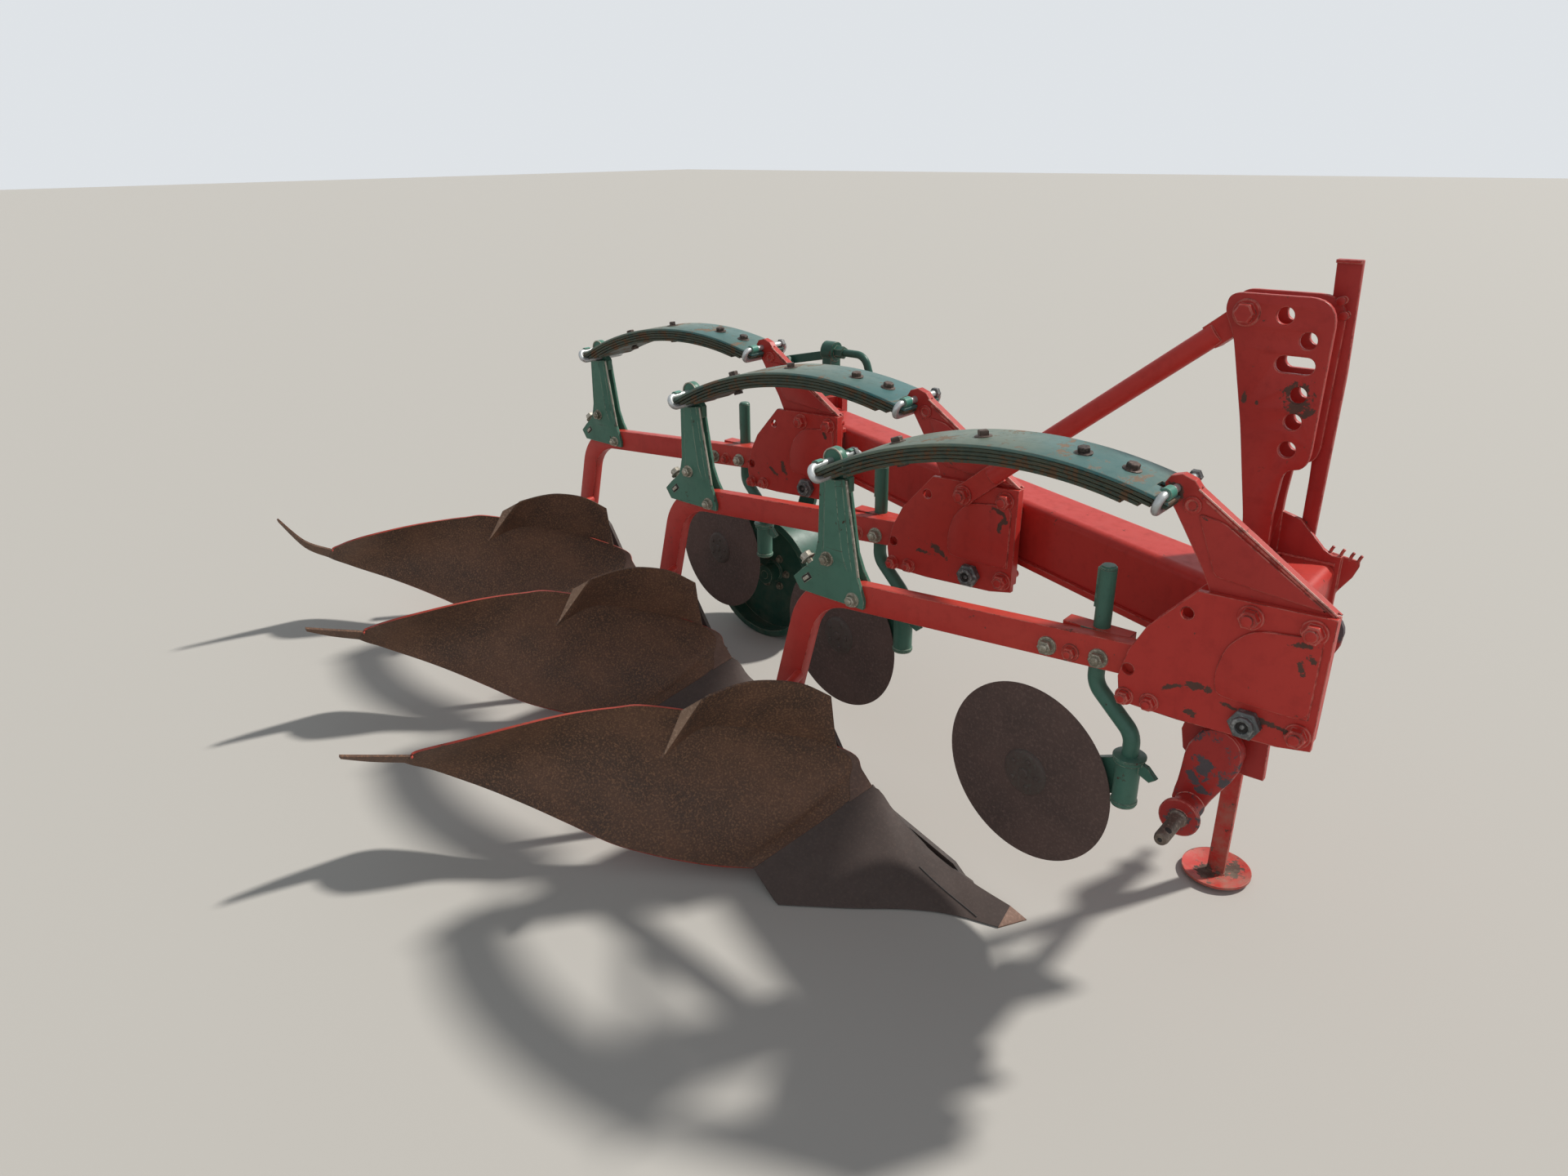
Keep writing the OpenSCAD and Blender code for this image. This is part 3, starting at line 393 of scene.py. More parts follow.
def bolt(foot, across, axis=(0, -1, 0), stud=0.2, finish=0):
    """Hexagon nut on its washer, and the end of the threaded bolt standing out of it."""
    a = across
    washer = [(0.74 * a, 0), (0.74 * a, 0.10 * a), (0.70 * a, 0.13 * a)]
    nut = [(0.50 * a, 0.10 * a), (0.577 * a, 0.15 * a), (0.577 * a, 0.60 * a), (0.50 * a, 0.66 * a)]
    parts = [turned(washer, 28, foot, axis, finish), turned(nut, 6, foot, axis, finish)]
    if stud:
        thread = [(0.34 * a if n % 2 else 0.30 * a, (0.60 + stud * n / 6) * a) for n in range(7)]
        parts.append(turned(thread + [(0.22 * a, (0.64 + stud) * a)], 16, foot, axis, finish))
    return parts


def round_hole(x, z, across):
    """Outline of a drilled hole."""
    turns = [pi * n / 16 for n in range(32)]
    return [(x + across / 2 * cos(t), z + across / 2 * sin(t)) for t in turns]


def softened(corners):
    """Outline with each corner rounded off: X, Z and how far back its curve starts."""
    smooth = []
    for n, (x, z, reach) in enumerate(corners):
        here = Vector((x, z))
        ends = []
        for neighbour in (corners[n - 1], corners[(n + 1) % len(corners)]):
            way = Vector(neighbour[:2]) - here
            ends.append(here + way.normalized() * min(reach, way.length / 2.1))
        for t in [i / CORNER_STEPS for i in range(CORNER_STEPS + 1)]:
            smooth.append(tuple(ends[0] * (1 - t) ** 2 + here * 2 * t * (1 - t) + ends[1] * t * t))
    return smooth


def cut_plate(outline, y0, y1, round_off=1.5, body=0, holes=()):
    """Plate between y0 and y1 with rounded edges, cut to an outline in X and Z, with holes."""
    shape = bpy.data.curves.new("plate", "CURVE")
    shape.dimensions = "2D"
    shape.fill_mode = "BOTH"
    for loop in [outline, *holes]:
        spline = shape.splines.new("POLY")
        spline.points.add(len(loop) - 1)
        for point, (x, z) in zip(spline.points, loop):
            point.co = (x / 1000, z / 1000, 0, 1)
        spline.use_cyclic_u = True
    shape.extrude = (y1 - y0) / 2000 - round_off / 1000
    shape.bevel_depth = round_off / 1000
    shape.bevel_resolution = 1
    shape.offset = -round_off / 1000
    holder = bpy.data.objects.new("plate", shape)
    cut = bpy.data.meshes.new_from_object(holder)
    base = at(0, (y0 + y1) / 2, 0, body)
    welded = bmesh.new()
    welded.from_mesh(cut)
    bmesh.ops.remove_doubles(welded, verts=welded.verts, dist=1e-6)
    welded.verts.index_update()
    points = [base + Vector((v.co.x, -v.co.z, v.co.y)) for v in welded.verts]
    faces = [tuple(v.index for v in f.verts) for f in welded.faces]
    welded.free()
    bpy.data.meshes.remove(cut)
    bpy.data.objects.remove(holder)
    bpy.data.curves.remove(shape)
    return points, faces


MAST = [
    # corner X, corner Z, reach of its rounding
    (-254, 1352, 14), (-248, 1386, 26), (-55, 1386, 52), (-55, 1070, 38), (-97, 1061, 18), (-103, 980, 30),
    (-100, 904, 8), (-100, 717, 0.5), (-160, 717, 0.5), (-155, 940, 30), (-192, 1138, 30), (-231, 1306, 20)]
MAST_T = 12
MAST_HOLES = [(-143, 1350), (-96, 1308), (-97, 1207), (-98, 1156), (-99, 1102)]
LINK_HOLE_D = 32
SLOT_Z = 1262
GUSSET = [(-150, 717), (23, 717), (21, 889), (3, 889), (-14, 898), (-65, 950), (-103, 960)]
HOOK_PLATE = [(-57, 737), (10, 777), (23, 813), (45, 849), (53, 873), (52, 884), (-4, 892), (-57, 892)]
slot = [(middle + 16 * cos(a * pi / 12), SLOT_Z + 16 * sin(a * pi / 12))
        for middle, first in ((-92, -6), (-132, 6)) for a in range(first, first + 13)]
mast_cuts = [round_hole(x, z, LINK_HOLE_D) for x, z in MAST_HOLES] + [slot]
mast_parts = [cut_plate(softened(MAST), y, y + MAST_T, holes=mast_cuts) for y in (330, 398)]
mast_parts.append(straight_block((-150, 341, 760), (-138, 399, 1000)))
mast_parts.append(cut_plate(GUSSET, 398.4, 409.6))
mast_parts.append(cut_plate(HOOK_PLATE, 409, 416))
mast_parts.append(turned([(14, 0), (14, 78)], 24, at(-213, 409, 1350)))
mast_parts += bolt(at(-213, 330, 1350), 34, stud=0)
for x, z in ((-4, 892), (16, 890), (34, 887), (49, 884)):
    path = [at(x + 5 * t * t, 412.5, z - 5 + 17 * t) for t in (0, 0.25, 0.5, 0.75, 1)]
    mast_parts.append(bent_bar(path, 6.5, 10))
assemble("mast_plates", mast_parts, [hitch_red], ["headstock"])
UPRIGHT = [(-92, 1448, 2), (-47, 1448, 2), (-38, 1240, 20), (-38, 906, 1), (-66, 906, 1), (-68, 1035, 20)]
PEG = [(6, 0), (6, 22), (8.5, 22.5), (8.5, 25), (6, 26.5)]
post_parts = [cut_plate(softened(UPRIGHT), 410, 422), straight_block((-91, 400, 1442), (-48, 422, 1447.8))]
post_parts += [turned(PEG, 20, at(x, 411, z)) for x, z in ((-67, 1376), (-58, 1350))]
assemble("hose_upright", post_parts, [hitch_red], ["hose_post"])

# Lower links
# The cross shaft turns in two hangers. Its crank arms carry the lower-link pins and are the
# most knocked pieces, down to scaly rust round the collars. The pins are bare and greasy.
SCALE_BLUE = (0.060, 0.050, 0.054)
RUST_ROUND = 0.002
knocked_red = old_paint("knocked_red_paint", HITCH_RED, FADED_RED, SCALE_BLUE, chipped=1.2, scratched=1.0,
                        scuffs=[
    (at(-58, 12, 562), (0.036, 0.03, 0.030), 30), (at(-74, 12, 532), (0.030, 0.03, 0.020), 0),
    (at(-60, 12, 512), (0.020, 0.03, 0.018), 0), (at(-77, -42, 470), (0.045, 0.02, 0.030), 0)], patchy=0.85)


def weathered_steel(name, dark, mid, light, shine=0.0, grain=(1, 1, 1), speckled=0.75, base_rough=0.52,
                    fine=140):
    """Bare steel that has rusted evenly: cloudy patches, fine speckle, faint streaks."""
    made, tree, surface, place, rounded = new_material(name, RUST_ROUND)
    clouds = noise(place, 5.5, 6, 0.6, grain)
    speckle = noise(place, fine, 6, 0.7)
    spots = noise(place, 46, 8, 0.75)
    colour = blend_colour(ramp(clouds, 0.36, 0.66), dark, mid)
    colour = blend_colour(times(ramp(speckle, 0.50, 0.66), speckled), colour, light)
    colour = blend_colour(times(ramp(spots, 0.58, 0.68), 0.7), colour, dark)
    tree.links.new(colour, surface.inputs["Base Color"])
    surface.inputs["Metallic"].default_value = shine
    rough = plus(times(spots, 0.25), base_rough - shine * 0.3)
    tree.links.new(rough, surface.inputs["Roughness"])
    emboss(surface, plus(times(speckle, 0.5), times(spots, 0.5)), rounded, 0.45)
    return made


pin_steel = weathered_steel("greasy_pin_steel", (0.07, 0.055, 0.045), (0.20, 0.15, 0.12), (0.33, 0.26, 0.21),
                            0.45)
SHAFT_X, SHAFT_Z, SHAFT_D, SHAFT_MID = -45, 600, 50, 370
PIN_X, PIN_Z, PIN_D = -77, 470, 28
ARM_REACH = (PIN_X - 6 - SHAFT_X, PIN_Z + 4 - SHAFT_Z)
ARM_HALF = [
    # share of the way from shaft to pin, half width of the arm
    (0.0, 46), (0.14, 50), (0.32, 48), (0.55, 41), (0.78, 35), (0.92, 33), (1.0, 31)]
ARM_SECTION = [
    # Y, share of the outline: the forging is crowned on its outer face
    (38, 0.94), (36, 1.0), (20, 1.0), (16, 0.97), (13, 0.86), (11, 0.60)]
PIN = [(18, 56), (18, 63), (15, 66), (PIN_D / 2, 68), (PIN_D / 2, 138), (12.5, 144), (11, 146.5)]


def crank_end(sign):
    """Crank arm, collar and pin at one end of the shaft; sign is -1 on the near side."""
    lean = atan2(ARM_REACH[1], ARM_REACH[0])

    def across(y):
        return SHAFT_MID + sign * (SHAFT_MID - y)

    def beside(share, half, turn):
        return (SHAFT_X + ARM_REACH[0] * share + half * cos(lean + turn),
                SHAFT_Z + ARM_REACH[1] * share + half * sin(lean + turn))

    edge = [beside(*station, pi / 2) for station in ARM_HALF]
    edge += [beside(*ARM_HALF[-1], pi / 2 - a * pi / 10) for a in range(1, 10)]
    edge += [beside(*station, -pi / 2) for station in ARM_HALF[::-1]]
    edge += [beside(*ARM_HALF[0], -pi / 2 - a * pi / 10) for a in range(1, 10)]
    mid_x, mid_z = (sum(p[n] for p in edge) / len(edge) for n in (0, 1))
    rings = [at(mid_x + (x - mid_x) * share, across(y), mid_z + (z - mid_z) * share)
             for y, share in ARM_SECTION for x, z in edge]
    parts = [(rings, tube_faces(len(ARM_SECTION), len(edge)), 0)]
    out = (0, sign, 0)
    foot = at(PIN_X, across(16), PIN_Z)
    parts.append(turned([(28, -2), (28, 56), (31, 57)], 36, foot, out))
    parts.append(turned([(36, 48), (39, 50), (39, 56), (37, 58), (24, 59)], 40, foot, out))
    parts.append(turned(PIN, 32, foot, out, 1))
    # Dark discs at the pin's cross hole and on its end: painted shade for the holes.
    for way in ((0.45, 0, 0.89), (-0.45, 0, -0.89)):
        parts.append(turned([(6.6, 11), (6.6, 14.25)], 20, at(PIN_X, across(-110), PIN_Z), way, 2))
    parts.append(turned([(4.5, 0), (4.5, 0.4)], 16, at(PIN_X, across(-130.4), PIN_Z), out, 2))
    return parts


# Near black: painted shade for the insides of holes, a slot and a groove.
hole_shade = weathered_steel("painted_hole_shade", (0.008, 0.006, 0.005), (0.018, 0.014, 0.012),
                            (0.03, 0.024, 0.02))
links = crank_end(-1) + crank_end(1)
links.append(bent_bar([at(SHAFT_X, y, SHAFT_Z) for y in (16, 200, 540, 724)], SHAFT_D, 36))
assemble("cross_shaft_forging", links, [knocked_red, pin_steel, hole_shade], ["cross_shaft"],
         rides_on="cross_shaft")

# Parking stand
# A flat bar that slides in a sleeve, welded to a dished plate foot. The foot is scraped bare
# along its edge and beside the weld.
stand_red = old_paint("red_stand_paint", FRAME_RED, FADED_RED, (0.06, 0.035, 0.028), chipped=0.8,
                      scratched=0.6, dusty=0.6, scuffs=[
    (at(-140, 470, 8), (0.06, 0.05, 0.03), 20), (at(-95, 510, 10), (0.05, 0.05, 0.03), 0)])
coat(stand_red, "stand")
BAR_CORNERS = [(-144, 480.5), (-104, 480.5), (-104, 495.5), (-144, 495.5)]
foot_welds = [weld_bead(at(*corner, 7), at(*after, 7), 7)
              for corner, after in zip(BAR_CORNERS, BAR_CORNERS[1:] + BAR_CORNERS[:1])]
assemble("stand_foot_weld", foot_welds, [stand_red], rides_on="stand")

# Side plates of the bodies
# Two plates with rounded corners stand either side of each leg. The near one is pressed out
# into a pad, and both are bolted through. The paint is scraped in long marks.
PLATE_BOLTS = [(-24, 887, 30), (80, 889, 30), (-226, 663, 24), (-177, 666, 24), (86, 692, 30)]
PAD = [(98, 724), (98, 882), (5, 870), (-18, 862), (-37, 846), (-57, 818), (-67, 773), (-65, 741), (-56, 724)]
PAD_ROUND = 26
LONG_BOLT = 15
SCRAPES = [
    # place, half sizes in metres, slant
    (at(-137, 0, 713), (0.042, 0.03, 0.009), -32), (at(-95, 0, 728), (0.048, 0.03, 0.014), -5),
    (at(68, -4, 862), (0.034, 0.03, 0.009), -10), (at(84, -4, 842), (0.022, 0.03, 0.012), 60),
    (at(72, -4, 822), (0.026, 0.03, 0.010), 70), (at(-100, 0, 672), (0.020, 0.03, 0.013), 0),
    (at(20, 0, 700), (0.090, 0.03, 0.009), 8)]


def pipe_ring(centre, across, bar):
    """Thin rim laid round a hole in the near plate."""
    spin = Vector((0, -1, 0)).to_track_quat("Z", "Y").to_matrix()
    path = [centre + p for p in around(28, across / 2, spin)]
    return bent_bar([*path, path[0]], bar, 8)


for k, name in enumerate(BODIES):
    behind = at(0, 0, 0, k) - at(0, 0, 0)
    marks = [(centre + behind, size, slant + 35 * k) for centre, size, slant in SCRAPES[:7 - 2 * k]]
    plate_red = old_paint(f"red_side_plate_paint_{name}", FRAME_RED, FADED_RED, chipped=0.25, scratched=0.15,
                          scuffs=marks)
    coat(plate_red, f"carrier_{name}")
    parts = [cut_plate(softened([(x, z, PAD_ROUND) for x, z in PAD]), -5.6, -1.0, 2.0, k)]
    for n, (x, z, across) in enumerate(PLATE_BOLTS):
        out = LONG_BOLT if (name, n) == ("mid", 0) else 0
        parts += bolt(at(x, -out - 0.2, z, k), across * 1.03)
    for x, z in ((-226, 721), (-132, 864)):
        parts.append(pipe_ring(at(x, 0.2, z, k), 25, 1.6))
    assemble(f"side_plate_fittings_{name}", parts, [plate_red])

# Spring brackets
# A triangular pressing between the side plates of each body, with creases round its field, a
# folded front flange and a solid nose that the front end of the spring hooks round.
FIELD = [(-143, 1050, 12), (-99, 941, 12), (94, 923, 12), (-96, 1042, 12)]
NOSE_CAP = [(9, 0), (9, 3.2), (10.5, 4.2), (14, 4.2), (16, 3), (16, 0)]
bracket_red = old_paint("red_bracket_paint", (0.41, 0.030, 0.025), FADED_RED, chipped=0.45, scratched=0.4,
                        scuffs=[
    (at(-190, 12, 1085), (0.030, 0.05, 0.022), 40)])
# Pale pink for the lit flange edge of the bracket: painted highlight.
pink_edge_highlight = old_paint("painted_pink_edge_highlight", EDGE_HIGHLIGHT_PINK, (0.80, 0.42, 0.36), chipped=0.4,
                        edge=(0.82, 0.50, 0.44))


def each(piece):
    """The names of one kind of solid on the three bodies."""
    return [f"{piece}_{name}" for name in BODIES]


def turned_ring(profile, sides, foot, axis=(0, -1, 0), finish=0):
    """Turned form with an open bore: its profile closes on itself."""
    points, faces, _ = turned(profile, sides, foot, axis)
    last = (len(profile) - 1) * sides
    faces = faces[:-2] + [(last + n, last + (n + 1) % sides, (n + 1) % sides, n) for n in range(sides)]
    return points, faces, finish


coat(bracket_red, *each("spring_bracket"))
for k, name in enumerate(BODIES):
    nose = at(-155, 12.4, 1061, k)
    parts = [cut_plate(softened(FIELD), 8.6, 12.9, 2.6, k)]
    parts.append(turned_ring(NOSE_CAP, 32, nose))
    parts.append(turned([(9.2, 0), (9.2, 1.6), (5, 2.6)], 28, nose))
    parts.append(weld_bead(at(-140, 12.2, 1078, k), at(104, 12.2, 918, k), 5))
    # A pale bar along the flange edge: painted highlight.
    highlight_line = [at(x, 11.6, z, k) for x, z in ((-148, 1091.5), (-60, 1033), (107, 921))]
    parts.append(bent_bar(highlight_line, 3.6, 8, finish=1))
    assemble(f"bracket_pressing_{name}", parts, [bracket_red, pink_edge_highlight])

# Legs
# Forged bars on a pivot bolt, bent down to the frog. The pivot nut is dark with old grease,
# and three bolts hold the clamp of the coulter stem.
LEG_SLOPE = radians(4.2)
BEND_TURN, BEND_STEPS = radians(71), 28
BEND_R, BEND_X, BEND_Z, LEG_HALF = 150, -900, 683, 34
leg_red = old_paint("red_leg_paint", FRAME_RED, (0.66, 0.085, 0.055), chipped=0.45)
zinc = weathered_steel("zinc_bolt_steel", (0.16, 0.14, 0.10), (0.38, 0.35, 0.28), (0.60, 0.57, 0.48), 0.55)
grease_steel = weathered_steel("greasy_nut_steel", (0.060, 0.062, 0.062), (0.17, 0.18, 0.18),
                               (0.42, 0.43, 0.42), 0.4, fine=90)


def leg_side(offset):
    """One long edge of the leg, offset from the middle line, from its bend to its foot."""
    r = BEND_R + offset
    turns = [pi / 2 + LEG_SLOPE + BEND_TURN * n / BEND_STEPS for n in range(BEND_STEPS + 1)]
    arc = [(BEND_X + r * cos(t), BEND_Z - BEND_R + r * sin(t)) for t in turns]
    down = turns[-1] + pi / 2
    return arc + [(arc[-1][0] + 300 * cos(down), arc[-1][1] + 300 * sin(down))]


climb = sin(LEG_SLOPE) / cos(LEG_SLOPE)
PIVOT_Z, PIVOT_BORE, PIVOT_D = 687, 36.2, 36
leg_outline = [(40, BEND_Z + LEG_HALF + (40 - BEND_X) * climb)] + leg_side(LEG_HALF)
leg_outline += [(-1110, 230), (-1100, 130), (-1000, 130), (-1010, 230)] + leg_side(-LEG_HALF)[::-1]
leg_outline += [(-60, BEND_Z - LEG_HALF + (-60 - BEND_X) * climb), (-36, 656), (-14, 649.5), (14, 651),
                (34, 670), (40, 690)]
LEG_BOLTS = [
    # X, Z, width across flats, finish: the leg's red or zinc
    (-292, 717, 27, 1), (-350, 712, 24, 0), (-401, 711, 27, 1)]
for k, name in enumerate(BODIES):
    nut = at(0, 0, PIVOT_Z, k)
    parts = [cut_plate(leg_outline, 14, 46, 2.5, k, [round_hole(0, PIVOT_Z, PIVOT_BORE)])]
    parts.append(turned([(17.9, 0), (PIVOT_D / 2, 0.5), (PIVOT_D / 2, 60)], 32, at(0, 60, PIVOT_Z, k),
                        finish=2))
    parts.append(turned([(27, -1), (29, 3), (29, 17), (25.5, 20)], 6, nut, finish=2))
    parts.append(turned_ring([(12, 18), (12, 27), (14, 29), (18, 29), (20, 27), (21, 18)], 10, nut, finish=2))
    # A dark disc inside the castle nut: painted shade.
    parts.append(turned([(12.4, 20), (12.2, 21.5)], 20, nut, finish=3))
    parts.append(turned([(5, 21), (4.5, 24)], 12, nut, finish=2))
    for x, z, across, finish in LEG_BOLTS:
        parts += bolt(at(x, 13.9, z, k), across, finish=finish)
    assemble(f"leg_forging_{name}", parts, [leg_red, zinc, grease_steel, hole_shade], [f"leg_{name}"])

# Leg brackets
# Two green plates bolted to each leg, the near one pressed into a channel that narrows upward.
# A round ear between them goes through the spring. Bare metal shows along the front edge.
BRACKET_GREEN = (0.064, 0.170, 0.122)
BRACKET_FADED = (0.105, 0.26, 0.20)
# pale grey-green laid along the edges of green paint: painted highlight
GREEN_EDGE_HIGHLIGHT = (0.42, 0.44, 0.34)
green_paint = old_paint("green_bracket_paint", BRACKET_GREEN, BRACKET_FADED, (0.045, 0.030, 0.022),
                        GREEN_EDGE_HIGHLIGHT, chipped=0.7, scratched=0.8)
bare_edge = weathered_steel("rubbed_edge_steel", (0.30, 0.27, 0.22), (0.52, 0.48, 0.40), (0.70, 0.66, 0.58),
                            0.3)
CHANNEL = [
    # columns from the rear edge to the front edge: X of each fold, then Z at both edges and depth
    [(-982, -969, -958, -931, -920, -911), 959, 965, -7],
    [(-984, -970, -959, -920, -908, -896), 880, 873, -8],
    [(-986, -971, -960, -908, -896, -881), 805, 790, -8],
    [(-993, -976, -966, -901, -890, -876), 775, 762, -5],
    [(-1002, -985, -976, -893, -885, -872), 750, 738, 0],
    [(-1034, -1004, -985, -888, -880, -862), 723, 712, 4],
    [(-1060, -1012, -988, -886, -878, -852), 697, 684, 4],
    [(-1040, -1010, -990, -925, -884, -854), 668, 665, 4]]


def closed_sheet(rows, offset, finish=0, rim=None):
    """Plate between a grid of points and the same grid moved by an offset, or one for each point."""
    count, width = len(rows), len(rows[0])
    front = [p for row in rows for p in row]
    back = [p + (offset[n] if isinstance(offset, list) else offset) for n, p in enumerate(front)]
    shift = len(front)
    faces = [(i * width + j, (i + 1) * width + j, (i + 1) * width + j + 1, i * width + j + 1)
             for i in range(count - 1) for j in range(width - 1)]
    under = [tuple(shift + n for n in f[::-1]) for f in faces]
    loop = [i * width for i in range(count)] + [(count - 1) * width + j for j in range(1, width)]
    loop += [i * width + width - 1 for i in range(count - 2, -1, -1)] + list(range(width - 2, 0, -1))
    edge = [(a, b, b + shift, a + shift) for a, b in zip(loop, loop[1:] + loop[:1])]
    if rim is None:
        return [(front + back, faces + under + edge, finish)]
    return [(front + back, faces, finish), (front + back, under + edge, rim)]


FOLD_DEPTHS = [4, 4, None, None, 4, 4]
BRACKET_T = 0.0095
FAR_BRACKET = [
    (-933, 965), (-982, 959), (-986, 805), (-998, 752), (-1058, 701), (-1060, 688), (-1035, 665), (-990, 679),
    (-929, 668), (-854, 665), (-850, 684), (-885, 740), (-902, 781)]
EAR_X, EAR_Z, EAR_R = -957, 1000, 27
ear_outline = [(EAR_X + EAR_R * cos(radians(a)), EAR_Z + EAR_R * sin(radians(a)))
               for a in range(-30, 211, 10)]
ear_outline += [(-975, 930), (-911, 930), (-911, 962)]
FRONT_EDGE = [(-910, 962), (-895, 873), (-880, 790), (-875, 762), (-871, 740)]
ROUND_SLOT = [
    # half length, half height and half depth in metres, finish: the rim round it, then the dark hole; the
    # near-black finish is painted shade
    (0.014, 0.0075, 0.0010, 3), (0.009, 0.004, 0.004, 1)]
slot_way = Vector((cos(radians(40)), 0, sin(radians(40))))
slot_up = Vector((-slot_way.z, 0, slot_way.x))
STOP_LEAN = radians(50)
stop_way = Vector((-sin(STOP_LEAN), 0, cos(STOP_LEAN)))
for k, name in enumerate(BODIES):
    grid = []
    for folds, rear_z, front_z, depth in CHANNEL:
        grid.append([at(x, depth if flat is None else flat, rear_z + (front_z - rear_z) * n / 5, k)
                     for n, (x, flat) in enumerate(zip(folds, FOLD_DEPTHS))])
    parts = closed_sheet(grid, Vector((0, BRACKET_T, 0)))
    parts.append(cut_plate(FAR_BRACKET, 46.4, 56, 1.5, k))
    parts.append(straight_block((-980, 14, 936), (-935, 46, 948), k))
    parts.append(cut_plate(ear_outline, 20, 40, 1.5, k))
    ear_lip = [(24, 0), (24, 2.2), (EAR_R, 2.2), (EAR_R, 0)]
    parts.append(turned_ring(ear_lip, 40, at(EAR_X, 20, EAR_Z, k), finish=1))
    parts.append(bent_bar([at(x, 8, z, k) for x, z in FRONT_EDGE], 4.5, 8, finish=1))
    for x, y, z in ((-952, -5, 770), (-884, 4, 682)):
        parts += bolt(at(x, y, z, k), 24, finish=2)
    for along, over, depth, finish in ROUND_SLOT:
        middle = at(-1020, 4, 703, k)
        corners = [middle + slot_way * a + slot_up * b + Vector((0, c, 0)) for a in (-along, along)
                   for b in (-over, over) for c in (-depth, 0.004)]
        parts.append((corners, BOX_FACES, finish))
    parts.append(bent_bar([at(-1015, y, 722, k) for y in (9, 51)], 16, 20, finish=2))
    stop = at(-1018, 30, 725, k)
    parts.append(turned([(8, 0), (8, 28)], 20, stop, stop_way, 2))
    parts += bolt(stop + stop_way * 0.022, 26, stop_way, stud=0, finish=1)
    assemble(f"spring_post_{name}", parts, [green_paint, bare_edge, zinc, hole_shade], [f"leg_bracket_{name}"])

# Leaf springs
# Five leaves rolled to one curve on each body and clamped by four square-headed bolts. Only the
# top leaf is teal. The others are dark, with rusty edges, and they part a little at the ends.
TEAL = (0.030, 0.160, 0.178)
LEAF_GREY = (0.150, 0.190, 0.150)
LEAF_R, LEAF_STEP, LEAF_T, LEAF_HALF, SPRING_Y = 996, 8, 7, 75, 30
LEAF_ROUND = 2.2
TILT = radians(6.9)
APEX = (-587.6, 1110.8)
FRONT_END, REAR_END = radians(23.9), radians(23.3)
LEAVES = [
    # share of the top leaf's length, gap at its ends, finish
    (1, 0, 0), (1, 0, 1), (0.93, 1.5, 1), (0.88, 2.5, 1), (0.8, 3.5, 1)]
NOSE = (12.3, 32.3)
EAR = (20, 40)
CLIPS = [
    # angle ahead of the apex in degrees, sides of the bolt's head
    (-12.1, 6), (0, 4), (12.3, 6), (17.9, 6)]
WEAR = [(-680, 10, 0), (-790, 50, 6), (-870, 20, 9)]
arc_x, arc_z = APEX[0] + sin(TILT) * LEAF_R, APEX[1] - cos(TILT) * LEAF_R
leaf_paints = []
for k, name in enumerate(BODIES):
    wear = [(at(x, y, 1108, k), (0.075, 0.045, 0.04), slant) for x, y, slant in WEAR]
    # The rear of the top leaf is painted lighter than its front: painted sunlight.
    leaf_paints.append(old_paint(
        f"teal_leaf_paint_{name}", TEAL, LEAF_GREY, (0.135, 0.098, 0.070), (0.20, 0.20, 0.12), chipped=0.8,
        scratched=1.0, gloss=0.40, patchy=0.60, dusty=0.1, scuffs=wear,
        painted_light_along=(at(-430, 0, 0, k).x, at(-640, 0, 0, k).x)))
leaf_dark = old_paint("dark_leaf_paint", (0.030, 0.050, 0.040), (0.060, 0.085, 0.066), (0.085, 0.050, 0.028),
                      (0.20, 0.16, 0.09), chipped=1.7, scratched=1.6, gloss=0.5)
clip_rust = weathered_steel("clip_bolt_rust", (0.035, 0.024, 0.020), (0.10, 0.065, 0.050), (0.22, 0.16, 0.13),
                            0.3)


def on_arc(angle, r, y, body):
    """Place on the spring's curve: angle ahead of the apex, radius and Y."""
    return at(arc_x + r * sin(angle - TILT), y, arc_z + r * cos(angle - TILT), body)


def square_out(angle, body):
    """One millimetre straight out from the spring's curve."""
    return on_arc(angle, 1, 0, body) - on_arc(angle, 0, 0, body)


def leaf_strip(r, start, end, y0, y1, body, finish, count, open_by):
    """Length of one leaf with rounded long edges. Its front or rear half opens from the next."""
    c = LEAF_ROUND
    section = [(y0, -c), (y0 + c * 0.3, -c * 0.3), (y0 + c, 0), (y1 - c, 0), (y1 - c * 0.3, -c * 0.3),
               (y1, -c), (y1, c - LEAF_T), (y1 - c, -LEAF_T), (y0 + c, -LEAF_T), (y0, c - LEAF_T)]
    points = []
    for n in range(count + 1):
        angle = start + (end - start) * n / count
        away = open_by * (angle / FRONT_END) ** 4
        points += [on_arc(angle, r - away + h, y, body) for y, h in section]
    return points, tube_faces(count + 1, len(section)), finish


